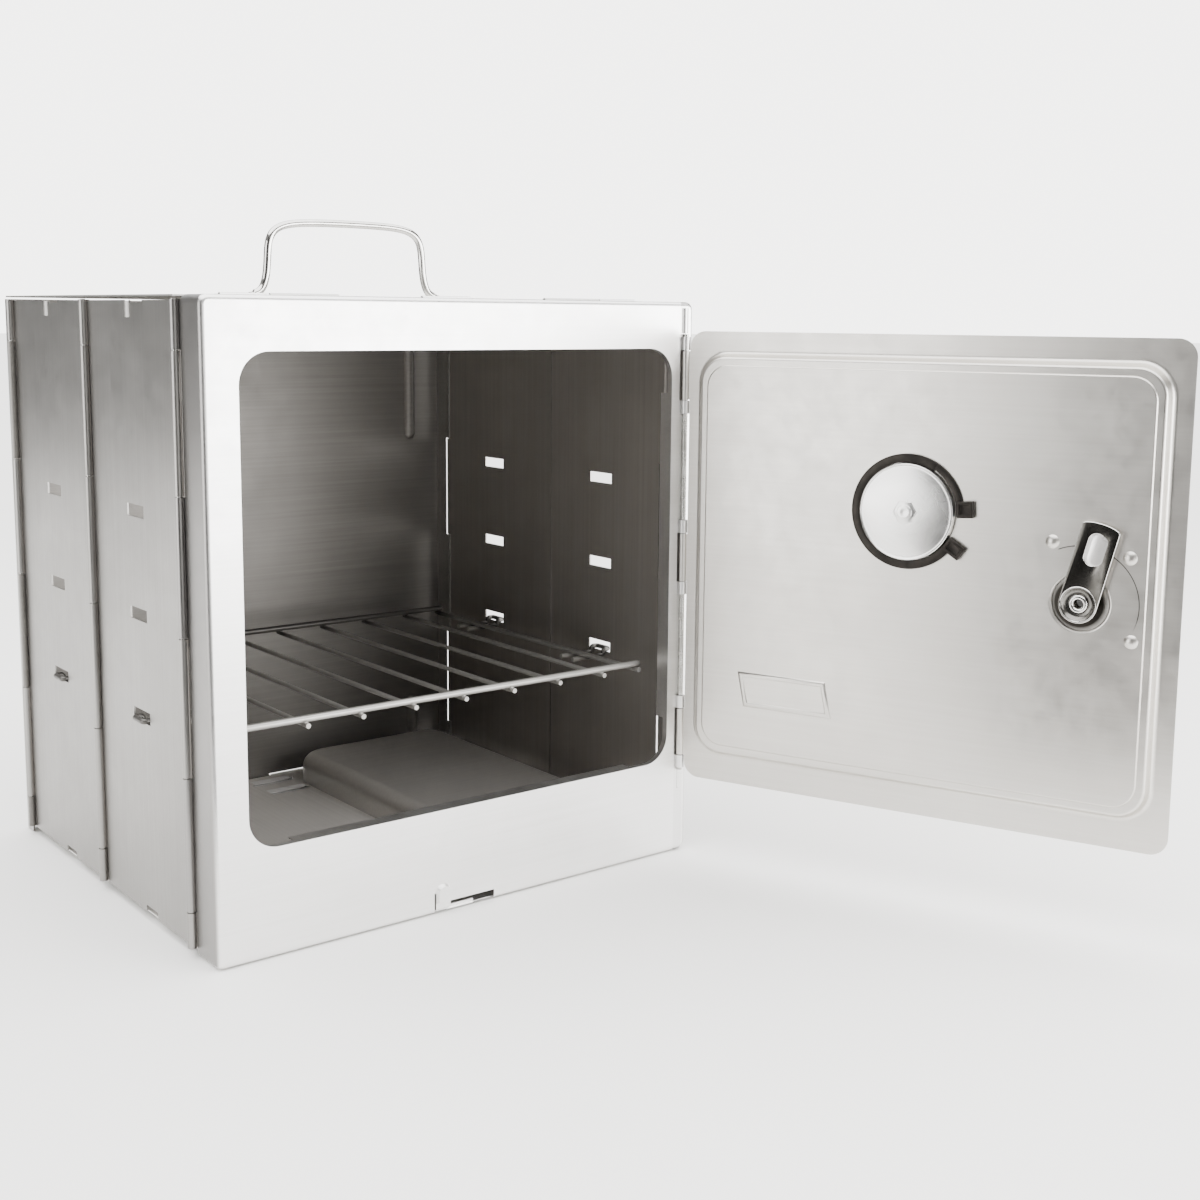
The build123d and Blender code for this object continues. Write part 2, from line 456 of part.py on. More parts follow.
# thermometer: case through the door, spring clamp inside, bezel, dial, glass and pointer outside
TX = sx(THERMO_S)
CASE_N = INNER_N + 5.6    # how far the case stands in
case = rod_y(TX, ny(1.2), ny(CASE_N), THERMO_Z, CASE_R)
case = fillet(case.faces().sort_by(Axis.Y)[-1].edges(), 1.6)
case -= rod_y(TX, ny(0), ny(CASE_N - 0.8), THERMO_Z, CASE_R - 0.8)
save("thermo_case", swing(case))
clamp = rod_y(TX, ny(INNER_N + 0.05), ny(INNER_N + 1.6), THERMO_Z, CLAMP_R)
clamp -= rod_y(TX, ny(INNER_N - 1), ny(INNER_N + 3), THERMO_Z, CASE_R + 0.1)
for ds, dz, turn in ((30.6, 4.5, 8), (26.5, -15.5, -30)):
    lug = Pos(TX - ds, ny(INNER_N + 1.55), THERMO_Z + dz) * Rot(0, turn, 0) * Box(6.5, 3.0, 5.5)
    clamp += lug - Pos(TX - ds, ny(INNER_N + 3.2), THERMO_Z + dz) * Rot(0, turn, 0) * Box(4.0, 2.0, 3.0)
save("thermo_clamp", swing(clamp))
hub = slab_y(RegularPolygon(6.0, 6), TX, THERMO_Z, ny(CASE_N), ny(CASE_N + 1.0))
save("thermo_hub", swing(hub + rod_y(TX, ny(CASE_N + 1.0), ny(CASE_N + 1.6), THERMO_Z, 3.6)))
bezel = rod_y(TX, ny(-1.4), ny(INNER_N - t - 0.05), THERMO_Z, CASE_R + 2.6)
bezel -= rod_y(TX, ny(-3), ny(INNER_N + 2), THERMO_Z, CASE_R + 0.05)
bezel += rod_y(TX, ny(-1.4), ny(-0.6), THERMO_Z, CASE_R + 0.5) - rod_y(TX, ny(-3), ny(1), THERMO_Z, CASE_R - 2.0)
save("thermo_bezel", swing(bezel))
save("thermo_glass", swing(rod_y(TX, ny(-0.55), ny(0.65), THERMO_Z, CASE_R - 0.15)))
dial = rod_y(TX, ny(3.6), ny(4.4), THERMO_Z, CASE_R - 0.9) - rod_y(TX, ny(3), ny(5), THERMO_Z, 1.05)
save("thermo_dial", swing(dial))
POINTER = -120.0          # needle at the cold end of the dial
needle = Pos(TX, ny(2.4), THERMO_Z) * Rot(0, POINTER, 0) * (
    Pos(0, 0, 8.0) * Box(1.2, 0.5, 22.0) + rod_y(0, -0.6, 0.6, 0, 2.6) + rod_y(0, 0, 2.4, 0, 0.97)
)
save("thermo_pointer", swing(needle))


# latch: arm inside, shaft through the door, lever outside
def lean(shape):
    """Turns an upright latch piece by the arm's resting lean, towards the free edge."""
    return Pos(sx(LATCH_S), 0, LATCH_Z) * Rot(0, -ARM_REST, 0) * shape


ARM_N = INNER_N + 2.7
r = ARM_W / 2
tip = ARM_L - r
plate = slab_y(Pos(0, tip / 2) * Rectangle(ARM_W, tip) + Circle(r) + Pos(0, tip) * Circle(r),
               0, 0, ny(ARM_N), ny(ARM_N + ARM_T))
arm = fillet(plate.faces().sort_by(Axis.Y)[-1].edges(), 0.4)
CUP_N = INNER_N - DISH + 0.5
arm += rod_y(0, ny(CUP_N), ny(ARM_N + 0.2), 0, 7.6)
arm -= rod_y(0, ny(CUP_N + 1.0), ny(ARM_N + ARM_T + 1), 0, 6.8)
arm -= rod_y(0, ny(CUP_N - 1), ny(ARM_N + 3), 0, SHAFT_R - 0.7)
oblong = SlotOverall(16, 6.5, rotation=90)
arm += slab_y(oblong, 0, 27.5, ny(ARM_N + 0.2), ny(ARM_N - 1.2), 20)
arm -= slab_y(SlotOverall(15, 5.5, rotation=90), 0, 27.5, ny(ARM_N + ARM_T + 0.1), ny(ARM_N - 0.3), 20)
save("latch_arm", swing(lean(arm)))
KNOB_N = -9.0
shaft = rod_y(0, ny(KNOB_N), ny(CUP_N - 0.02), 0, SHAFT_R)
shaft += rod_y(0, ny(CUP_N - 0.02), ny(CUP_N + 1.0), 0, SHAFT_R - 0.75)
head = rod_y(0, ny(CUP_N + 1.02), ny(CUP_N + 2.2), 0, 4.4)
head = fillet(head.faces().sort_by(Axis.Y)[-1].edges(), 0.9)
save("latch_shaft", swing(lean(shaft)))
save("latch_rivet", swing(lean(head)))
lever = slab_y(Pos(0, 9) * Rectangle(12, 36) + Pos(0, 27) * Circle(6) + Pos(0, -9) * Circle(6),
               0, 0, ny(KNOB_N - 3.0), ny(KNOB_N + 0.0))
lever = fillet(lever.faces().sort_by(Axis.Y)[0].edges(), 1.2)
lever += rod_y(0, ny(KNOB_N), ny(1.0), 0, 7.0) - rod_y(0, ny(KNOB_N - 1), ny(2.0), 0, SHAFT_R + 0.02)
save("latch_lever", swing(lean(lever)))
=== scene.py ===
import bpy
from math import atan2, cos, pi, radians, sin
from mathutils import Matrix, Vector


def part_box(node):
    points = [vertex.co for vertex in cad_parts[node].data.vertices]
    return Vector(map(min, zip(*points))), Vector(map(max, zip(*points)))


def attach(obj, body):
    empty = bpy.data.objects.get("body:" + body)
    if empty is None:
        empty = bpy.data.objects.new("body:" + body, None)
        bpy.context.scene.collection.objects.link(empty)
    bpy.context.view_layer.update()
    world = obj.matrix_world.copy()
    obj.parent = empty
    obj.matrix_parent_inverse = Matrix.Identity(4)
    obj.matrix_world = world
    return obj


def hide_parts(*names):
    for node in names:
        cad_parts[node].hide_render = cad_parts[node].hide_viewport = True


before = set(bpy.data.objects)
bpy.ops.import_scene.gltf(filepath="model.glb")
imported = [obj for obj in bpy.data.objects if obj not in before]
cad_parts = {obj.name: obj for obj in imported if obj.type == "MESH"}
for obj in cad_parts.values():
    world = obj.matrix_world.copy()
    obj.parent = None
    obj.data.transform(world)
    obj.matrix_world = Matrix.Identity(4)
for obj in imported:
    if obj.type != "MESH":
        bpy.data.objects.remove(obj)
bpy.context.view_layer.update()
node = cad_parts


# ---- Studio --------------------------------------------------------------------------------
# A pale seamless floor and a pale room, lit by large soft panels, with the camera low and to
# the left of the open front.
def colour(hex_code):
    """An sRGB hex colour as the linear one that a shader takes."""
    parts = [int(hex_code[i:i + 2], 16) / 255 for i in (1, 3, 5)]
    return [c / 12.92 if c <= 0.04045 else ((c + 0.055) / 1.055) ** 2.4 for c in parts] + [1.0]


def add(tree, kind, into={}, **settings):
    """Adds a node; into gives each input its value, or the output that feeds it."""
    made = tree.nodes.new(kind)
    for name, value in settings.items():
        setattr(made, name, value)
    for name, value in into.items():
        if isinstance(value, bpy.types.NodeSocket):
            tree.links.new(value, made.inputs[name])
        else:
            made.inputs[name].default_value = value
    return made


def material(name):
    """A new material, with its node tree and its shader."""
    made = bpy.data.materials.new(name)
    made.use_nodes = True
    return made, made.node_tree, made.node_tree.nodes["Principled BSDF"]


CAMERA_PLACE = (-0.42433, -0.6504, 0.29735)
SENSOR, LENS = 36, 46.95             # millimetres
FRAMING = (-0.0118, -0.0502)         # the lens's shift, across and up
PALE = "#F6F5F3"                     # the room and its floor
ROOM_LIT, ROOM_SEEN = 0.4, 5.5       # the light that the room gives, and its own brightness
bpy.ops.object.select_all(action="DESELECT")
yaw, pitch, roll = radians(38.69), radians(8.14), radians(0.58)
ahead = Vector((sin(yaw) * cos(pitch), cos(yaw) * cos(pitch), -sin(pitch)))
level = Vector((cos(yaw), -sin(yaw), 0))
above = level.cross(ahead)
right = cos(roll) * level + sin(roll) * above
up = cos(roll) * above - sin(roll) * level
bpy.ops.object.camera_add(location=CAMERA_PLACE)
camera = bpy.context.object
camera.rotation_euler = Matrix((right, up, -ahead)).transposed().to_euler()
camera.data.sensor_width = SENSOR
camera.data.lens = LENS
camera.data.shift_x, camera.data.shift_y = FRAMING
bpy.context.scene.camera = camera

# the room is brighter to the eye than in the light it gives, as a lit backdrop is
world = bpy.data.worlds.new("pale_room")
bpy.context.scene.world = world
world.use_nodes = True
room = world.node_tree
room.nodes["Background"].inputs["Color"].default_value = colour(PALE)
seen = add(room, "ShaderNodeLightPath")
glow = add(room, "ShaderNodeMapRange",
           {"Value": seen.outputs["Is Camera Ray"], "To Min": ROOM_LIT, "To Max": ROOM_SEEN})
room.links.new(glow.outputs["Result"], room.nodes["Background"].inputs["Strength"])

# name, place, size in metres, watts, and the point that it faces
for name, place, size, power, target in (
    ("front_right", (0.85, -1.05, 0.30), (1.5, 0.62), 34, (0, 0, 0.12)),
    ("left", (-1.7, 0.15, 0.5), (1.3, 1.0), 17, (0.15, -0.05, 0.15)),
):
    bpy.ops.object.light_add(type="AREA", location=place)
    lamp = bpy.context.object
    lamp.name = name
    lamp.data.shape = "RECTANGLE"
    lamp.data.size, lamp.data.size_y = size
    lamp.data.energy = power
    lamp.rotation_euler = (Vector(target) - Vector(place)).to_track_quat("-Z", "Y").to_euler()

# a very large soft overhead light, even over the whole floor
bpy.ops.object.light_add(type="SUN", location=(0, 0, 2))
overhead = bpy.context.object
overhead.name = "overhead"
overhead.data.energy = 10.0
overhead.data.angle = radians(100)

# the floor lies just clear of the oven's base
bpy.ops.mesh.primitive_plane_add(size=40, location=(0, 0, -0.0006))
ground = bpy.context.object
ground.name = "studio_floor"
paper, tree, shader = material("seamless_paper")
shader.inputs["Base Color"].default_value = colour(PALE)
shader.inputs["Roughness"].default_value = 0.75
ground.data.materials.append(paper)

# dark cards, seen only in reflections: they shade the open door, the chrome and the left side
for name, place, size, turn, tone in (
    ("card_left", (-0.8, -0.9, 0.45), (0.9, 1.3), (0, 90, 0), "#0C0C0C"),
    ("card_floor", (-0.72, -0.68, 0.0), (1.3, 0.95), (0, 0, 0), "#141414"),
    ("card_back", (-0.9, 1.05, 0.55), (1.5, 0.9), (90, 0, 38), "#6A6A6A"),
    ("card_behind", (1.1, 1.9, 0.9), (3.4, 1.7), (90, 0, 0), "#1C1C1C"),
):
    bpy.ops.mesh.primitive_plane_add(size=1, location=place, rotation=[radians(a) for a in turn])
    card = bpy.context.object
    card.name = name
    card.scale = (*size, 1)
    bpy.ops.object.transform_apply()
    felt, tree, shader = material(name + "_felt")
    shader.inputs["Base Color"].default_value = colour(tone)
    shader.inputs["Roughness"].default_value = 0.9
    card.data.materials.append(felt)
    card.visible_camera = card.visible_diffuse = card.visible_shadow = False


# ---- Front frame ---------------------------------------------------------------------------
# The front is one pressed pan of thin aluminised steel with the opening's edge rolled inwards.
# The sheet is rolled to a pale satin: fine lines along the roll, clouds of tone, handling marks.
def satin_sheet(name, light, dark, rough, grain, inside=None, inside_shade="#B8B6B4", centre=(0, 0, 0),
                turn=0.0, relief=0.05, bare=1.0):
    """Satin rolled steel. Lines run along the grain axis, after the pattern is turned about Z.
    The side that faces along inside takes its tone of painted shade, and bare as its metallic."""
    mat, tree, shader = material(name)
    sight = add(tree, "ShaderNodeTexCoord")
    place = add(tree, "ShaderNodeMapping", {
        "Vector": sight.outputs["Object"], "Location": centre, "Rotation": (0, 0, turn),
    }, vector_type="TEXTURE").outputs["Vector"]
    # the real lines are near 0.2 mm apart, drawn at 1.6 mm so that they show
    scale = [1 / 0.0016] * 3
    scale["XYZ".index(grain)] = 7.0
    drawn = add(tree, "ShaderNodeMapping", {"Vector": place, "Scale": scale}).outputs["Vector"]
    lines = add(tree, "ShaderNodeTexNoise",
                {"Vector": drawn, "Scale": 1.0, "Detail": 4.0, "Roughness": 0.65})
    cloud = add(tree, "ShaderNodeTexNoise",
                {"Vector": place, "Scale": 11.0, "Detail": 3.0, "Roughness": 0.5})
    marks = add(tree, "ShaderNodeTexNoise",
                {"Vector": place, "Scale": 60.0, "Detail": 6.0, "Roughness": 0.7})
    both = add(tree, "ShaderNodeMath", {0: lines.outputs["Fac"], 1: cloud.outputs["Fac"]},
               operation="ADD")
    tone = add(tree, "ShaderNodeMapRange",
               {"Value": both.outputs[0], "From Min": 0.75, "From Max": 1.25})
    skin = add(tree, "ShaderNodeMix",
               {"Factor": tone.outputs["Result"], 6: colour(dark), 7: colour(light)},
               data_type="RGBA").outputs[2]
    worn = add(tree, "ShaderNodeMapRange", {
        "Value": marks.outputs["Fac"], "From Min": 0.3, "From Max": 0.7,
        "To Min": rough - 0.04, "To Max": rough + 0.05,
    }).outputs["Result"]
    if inside:
        facing = add(tree, "ShaderNodeVectorMath", {0: sight.outputs["Normal"], 1: inside},
                     operation="DOT_PRODUCT")
        hidden = add(tree, "ShaderNodeMapRange", {
            "Value": facing.outputs["Value"], "From Min": 0.2, "From Max": 0.6,
        }).outputs["Result"]
        # painted shade on the side that faces into the box
        inside_shade_mix = add(tree, "ShaderNodeMix", {"Factor": hidden, 6: (1, 1, 1, 1), 7: colour(inside_shade)},
                   data_type="RGBA")
        skin = add(tree, "ShaderNodeMix", {"Factor": 1.0, 6: skin, 7: inside_shade_mix.outputs[2]},
                   data_type="RGBA", blend_type="MULTIPLY").outputs[2]
        mirror = add(tree, "ShaderNodeMapRange", {"Value": hidden, "To Min": 1.0, "To Max": bare})
        tree.links.new(mirror.outputs["Result"], shader.inputs["Metallic"])
        # the rolled lines stand out less on that side
        relief = add(tree, "ShaderNodeMapRange",
                     {"Value": hidden, "To Min": relief, "To Max": 0.3 * relief})
    tree.links.new(skin, shader.inputs["Base Color"])
    tree.links.new(worn, shader.inputs["Roughness"])
    if not inside:
        shader.inputs["Metallic"].default_value = 1.0
    depth = relief.outputs["Result"] if inside else relief
    bump = add(tree, "ShaderNodeBump",
               {"Height": lines.outputs["Fac"], "Strength": depth, "Distance": 0.0003})
    tree.links.new(bump.outputs["Normal"], shader.inputs["Normal"])
    return mat


def toned(mat, where, hex_code):
    """Lays another tone over a material's own colour, as far as where is 1."""
    tree = mat.node_tree
    skin = tree.nodes["Principled BSDF"].inputs["Base Color"]
    mixed = add(tree, "ShaderNodeMix",
                {"Factor": where, 6: skin.links[0].from_socket, 7: colour(hex_code)},
                data_type="RGBA")
    tree.links.new(mixed.outputs[2], skin)


DOOR_AXIS = (0.135, -0.01225, 0.0)   # foot of the door's hinge wire
BARREL = (0.0030, 0.0034)            # reach of the rolled knuckles from it, with a soft edge
BARREL_OUT = (-0.66, -0.75, 0)       # straight out between the face and the open door


def shaded_barrels(mat):
    """Darkens the gaps on both sides of the door hinge's rolled knuckles with painted shade."""
    tree = mat.node_tree
    sight = add(tree, "ShaderNodeTexCoord")
    from_pin = add(tree, "ShaderNodeVectorMath", {0: sight.outputs["Object"], 1: DOOR_AXIS},
                   operation="SUBTRACT")
    level = add(tree, "ShaderNodeVectorMath", {0: from_pin.outputs["Vector"], 1: (1, 1, 0)},
                operation="MULTIPLY")
    reach = add(tree, "ShaderNodeVectorMath", {0: level.outputs["Vector"]}, operation="LENGTH")
    near = add(tree, "ShaderNodeMapRange", {
        "Value": reach.outputs["Value"], "From Min": BARREL[0], "From Max": BARREL[1],
        "To Min": 1.0, "To Max": 0.0,
    })
    # painted shade by facing: the part of a barrel that faces straight out stays bright
    out = add(tree, "ShaderNodeVectorMath", {0: sight.outputs["Normal"], 1: BARREL_OUT},
              operation="DOT_PRODUCT")
    gap = add(tree, "ShaderNodeMapRange", {
        "Value": out.outputs["Value"], "From Min": 0.35, "From Max": 0.8,
        "To Min": 1.0, "To Max": 0.0,
    })
    barrel_shade = add(tree, "ShaderNodeMath", {0: near.outputs["Result"], 1: gap.outputs["Result"]},
               operation="MULTIPLY")
    # painted shade in the knuckles' gaps
    toned(mat, barrel_shade.outputs[0], "#4A4743")


def finish(names, mat):
    """Gives the pieces that come straight from the CAD their material."""
    for name in names:
        node[name].data.materials.clear()
        node[name].data.materials.append(mat)


FLANK = (0.1394, 0.1406)             # where the pan's side returns begin, from the middle
face_steel = satin_sheet("satin_steel_front", "#EDECEB", "#E5E4E2", 0.32, "X", inside=(0, 1, 0))
# painted shade: the pan's side returns are darker than its face
tree = face_steel.node_tree
place = add(tree, "ShaderNodeSeparateXYZ",
            {"Vector": add(tree, "ShaderNodeTexCoord").outputs["Object"]})
out = add(tree, "ShaderNodeMath", {0: place.outputs["X"]}, operation="ABSOLUTE")
flank_shade = add(tree, "ShaderNodeMapRange",
            {"Value": out.outputs[0], "From Min": FLANK[0], "From Max": FLANK[1]})
toned(face_steel, flank_shade.outputs["Result"], "#8E8C8A")
# painted shade in the door hinge's gaps
shaded_barrels(face_steel)
finish(("front_frame", "floor_keeper"), face_steel)


# ---- Hinge wires ---------------------------------------------------------------------------
# Straight lengths of drawn, bright-zinced wire run down through the rolled knuckles of the
# sheets. The zinc is smooth, faintly clouded, and greyer than the chrome.
def plated_wire(name, light, dark, rough, mottle=90.0, relief=0.08):
    """Smooth plating with clouds of tone. It is a little rougher where it is darker."""
    mat, tree, shader = material(name)
    place = add(tree, "ShaderNodeTexCoord").outputs["Object"]
    cloud = add(tree, "ShaderNodeTexNoise",
                {"Vector": place, "Scale": mottle, "Detail": 4.0, "Roughness": 0.6})
    # plating nodules, really a few hundredths of a millimetre, drawn at half a millimetre
    fine = add(tree, "ShaderNodeTexNoise", {"Vector": place, "Scale": 2000.0, "Detail": 2.0})
    tone = add(tree, "ShaderNodeMapRange",
               {"Value": cloud.outputs["Fac"], "From Min": 0.35, "From Max": 0.65})
    mix = add(tree, "ShaderNodeMix",
              {"Factor": tone.outputs["Result"], 6: colour(dark), 7: colour(light)},
              data_type="RGBA")
    tree.links.new(mix.outputs[2], shader.inputs["Base Color"])
    worn = add(tree, "ShaderNodeMapRange", {
        "Value": cloud.outputs["Fac"], "From Min": 0.3, "From Max": 0.7,
        "To Min": rough + 0.05, "To Max": max(rough - 0.04, 0.03),
    })
    tree.links.new(worn.outputs["Result"], shader.inputs["Roughness"])
    shader.inputs["Metallic"].default_value = 1.0
    bump = add(tree, "ShaderNodeBump",
               {"Height": fine.outputs["Fac"], "Strength": relief, "Distance": 0.0001})
    tree.links.new(bump.outputs["Normal"], shader.inputs["Normal"])
    return mat


zinced = plated_wire("bright_zinc_wire", "#C9C8C4", "#A9A7A2", 0.26)
finish(("front_side_pins", "door_pin", "top_pin", "left_mid_pin", "right_mid_pin",
        "rear_side_pins", "floor_pin"), zinced)


# ---- Side panels ---------------------------------------------------------------------------
# Each side is two leaves of the same sheet, curled into knuckles at their upright edges. Their
# grain stands upright and their outside is painted greyer than the front, painted shade of the
# sides. The inside is less mirror-like.
for side, inward in (("left", (1, 0, 0)), ("right", (-1, 0, 0))):
    leaf_steel = satin_sheet(f"satin_steel_{side}_leaves", "#9A9895", "#8E8C89", 0.34, "Z",
                             inside=inward, inside_shade="#F6F1ED", bare=0.68)
    finish((f"{side}_front_panel", f"{side}_rear_panel"), leaf_steel)


# ---- Back pan ------------------------------------------------------------------------------
# The back is a shallow pan of the same sheet, with its grain level and a pressed bead in each
# corner. Its inside has the darkest painted shade of the insides, and is the dullest.
back_steel = satin_sheet("satin_steel_back", "#B9B8B5", "#A9A8A5", 0.43, "X", inside=(0, -1, 0),
                         inside_shade="#A6A3A0", bare=0.75)
finish(("back_pan",), back_steel)


# ---- Floor ---------------------------------------------------------------------------------
# The floor is a thin hinged sheet with a loose-edged left sheet over it and a drawn cover raised
# over the burner. The cover is the darker of them.
TONGUE_X, TONGUE_Y = (-0.0065, -0.0055), (0.2065, 0.2072)   # where the left sheet's tongues begin
floor_steel = satin_sheet("satin_steel_floor", "#E8E6E3", "#DCDAD7", 0.36, "Y", inside=(0, 0, 1),
                          inside_shade="#FFFDFB", bare=0.5)
finish(("floor_panel",), floor_steel)
sheet_steel = satin_sheet("satin_steel_left_sheet", "#E8E6E3", "#DCDAD7", 0.36, "Y",
                          inside=(0, 0, 1), inside_shade="#FFFDFB", bare=0.5)
# its two tongues are brighter: a painted reflection of the light they catch
tree = sheet_steel.node_tree
place = add(tree, "ShaderNodeSeparateXYZ",
            {"Vector": add(tree, "ShaderNodeTexCoord").outputs["Object"]})
tongue_sheen_x = add(tree, "ShaderNodeMapRange",
             {"Value": place.outputs["X"], "From Min": TONGUE_X[0], "From Max": TONGUE_X[1]})
rear = add(tree, "ShaderNodeMapRange",
           {"Value": place.outputs["Y"], "From Min": TONGUE_Y[0], "From Max": TONGUE_Y[1]})
both = add(tree, "ShaderNodeMath", {0: tongue_sheen_x.outputs["Result"], 1: rear.outputs["Result"]},
           operation="MULTIPLY")
toned(sheet_steel, both.outputs[0], "#FBFAF8")
finish(("floor_left_sheet",), sheet_steel)
cover_steel = satin_sheet("heat_toned_cover", "#D0CECB", "#C6C4C1", 0.36, "X", inside=(0, 0, 1),
                          inside_shade="#FFFDFB", bare=0.72)
finish(("burner_cover",), cover_steel)


# ---- Top and carry handle ------------------------------------------------------------------
# The lid is a flat sheet hinged at the front. The handle is one length of chromed 4 mm wire
# bent to a domed grip, its two ends pressed flat and spot-welded to the lid.
top_steel = satin_sheet("satin_steel_top", "#CFCECB", "#BFBEBA", 0.36, "X", inside=(0, 0, -1))
finish(("top_panel",), top_steel)
chromed = plated_wire("chromed_wire", "#DAD8D5", "#C9C7C3", 0.1)


def pick(mesh, kind, wanted):
    """Selects the vertices, edges or polygons for which wanted holds, and stays in edit mode."""
    bpy.ops.object.mode_set(mode="EDIT")
    bpy.ops.mesh.select_all(action="DESELECT")
    bpy.ops.object.mode_set(mode="OBJECT")
    for item in getattr(mesh, kind):
        item.select = wanted(item)
    bpy.ops.object.mode_set(mode="EDIT")


HANDLE_MIDDLE = (0.0025, 0.118)      # where the grip's middle is over the lid
LID_TOP = 0.305
HANDLE_WIRE = 0.002                  # its radius
# half of the bend, as distance from the middle and height over the foot
HANDLE_HALF = (
    (0.0693, 0), (0.0640, 0), (0.0590, 0), (0.0545, 0.0002), (0.0508, 0.0022), (0.0487, 0.0075),
    (0.0477, 0.0140), (0.0473, 0.0215), (0.0466, 0.0284), (0.0435, 0.0338), (0.0360, 0.0369),
    (0.0240, 0.0379), (0.0080, 0.0382),
)
bend = [(-out, rise) for out, rise in HANDLE_HALF]
bend += [(out, rise) for out, rise in reversed(HANDLE_HALF)]
bpy.ops.object.select_all(action="DESELECT")
bpy.ops.curve.primitive_nurbs_path_add(location=(0, 0, 0))
handle = bpy.context.object
handle.name = handle.data.name = "wire_handle"
run = handle.data.splines[0]
run.points.add(len(bend) - len(run.points))
for point, (out, rise) in zip(run.points, bend):
    point.co = (HANDLE_MIDDLE[0] + out, HANDLE_MIDDLE[1], LID_TOP + HANDLE_WIRE + rise, 1)
run.order_u = 4
run.use_endpoint_u = True
handle.data.resolution_u = 8
handle.data.bevel_depth = HANDLE_WIRE
handle.data.bevel_resolution = 6
handle.data.use_fill_caps = True
bpy.ops.object.convert(target="MESH")
# each end is pressed flatter and wider, in two steps from its own distance out
for near, flatness, spread in ((0.0585, 0.36, 1.6), (0.0560, 0.72, 1.12)):
    pick(handle.data, "vertices", lambda v: abs(v.co.x - HANDLE_MIDDLE[0]) > near)
    bpy.ops.transform.resize(value=(1, spread, flatness),
                             center_override=(0, HANDLE_MIDDLE[1], LID_TOP))
bpy.ops.object.mode_set(mode="OBJECT")
bpy.ops.object.shade_smooth_by_angle(angle=radians(40))
handle.data.materials.append(chromed)
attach(handle, "top")
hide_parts("carry_handle")


# ---- Rack and its rests --------------------------------------------------------------------
# Two level cross wires on two side wires, with seven rods resistance-welded under them. Every
# crossing has a small squeezed-out weld. The rests are bent wire loops through the side slots.
SHADED_Y, HUNG_X = (0.190, 0.214), (0.1195, 0.1255)   # where the rack's painted shade begins, back and outwards
rack_chrome = plated_wire("rack_wire_chrome", "#A9A7A3", "#9B9995", 0.34, mottle=22.0, relief=0.03)
# it scatters part of the light, as dulled chrome does
tree = rack_chrome.node_tree
tree.nodes["Principled BSDF"].inputs["Metallic"].default_value = 0.7
# painted shade: it is darker at the back and where it hangs in the slots
place = add(tree, "ShaderNodeSeparateXYZ",
            {"Vector": add(tree, "ShaderNodeTexCoord").outputs["Object"]})
rear = add(tree, "ShaderNodeMapRange",
           {"Value": place.outputs["Y"], "From Min": SHADED_Y[0], "From Max": SHADED_Y[1]})
out = add(tree, "ShaderNodeMath", {0: place.outputs["X"]}, operation="ABSOLUTE")
hung = add(tree, "ShaderNodeMapRange",
           {"Value": out.outputs[0], "From Min": HUNG_X[0], "From Max": HUNG_X[1]})
rack_shade = add(tree, "ShaderNodeMath", {0: rear.outputs["Result"], 1: hung.outputs["Result"]},
             operation="MAXIMUM")
toned(rack_chrome, rack_shade.outputs[0], "#54524F")
finish(("rack_frame", "rack_rods", "left_front_rest", "left_rear_rest", "right_front_rest",
        "right_rear_rest"), rack_chrome)
RODS, ROD_MIDDLE, ROD_STEP = 7, 0.007, 0.030
CROSS_WIRES = (0.0110, 0.21625)      # how far back they lie
WELD_RADIUS, WELD_SPREAD = 0.00135, (1.15, 1.15, 0.62)
ROD_WELD_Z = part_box("rack_rods")[1].z
crossings = [
    (ROD_MIDDLE + (i - (RODS - 1) / 2) * ROD_STEP, y, ROD_WELD_Z)
    for i in range(RODS) for y in CROSS_WIRES
]
bpy.ops.object.select_all(action="DESELECT")
bpy.ops.mesh.primitive_uv_sphere_add(segments=14, ring_count=8, radius=WELD_RADIUS,
                                     location=crossings[0])
weld = bpy.context.object
weld.name = weld.data.name = "rack_welds"
bpy.ops.object.transform_apply()
bpy.ops.object.mode_set(mode="EDIT")
bpy.ops.mesh.select_all(action="SELECT")
bpy.ops.transform.resize(value=WELD_SPREAD, center_override=crossings[0])
for before, after in zip(crossings, crossings[1:]):
    bpy.ops.mesh.duplicate()
    bpy.ops.transform.translate(value=Vector(after) - Vector(before))
bpy.ops.object.mode_set(mode="OBJECT")
bpy.ops.object.shade_smooth_by_angle(angle=radians(60))
weld.data.materials.append(rack_chrome)
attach(weld, "rack")


# ---- Door ----------------------------------------------------------------------------------
# The door is a pressed pan of the same sheet, grain level, with a raised field, a plain raised
# plate and three bumps that the latch arm clicks over. A thin dark arc runs round the latch.
DOOR_RUN = (0.36812, -0.92978)       # which way the open door runs from its hinge
DOOR_TURN = atan2(DOOR_RUN[1], DOOR_RUN[0])
LATCH_S, LATCH_Z = 0.2163, 0.1640    # the latch along the door and up it
ARC_RADIUS = 0.0275
ARC_EDGE = (0.0001, 0.00036)         # half its width, with a soft edge
ARC_BEGINS, ARC_ENDS = (-0.44, -0.40), (1.75, 2.0)   # radians from straight up, fading in and out
DISH_MIDDLE = (-0.0008, 0, -0.0004)  # middle of the dish's painted shade, from the latch
DISH_EDGE = (0.0114, 0.0134)
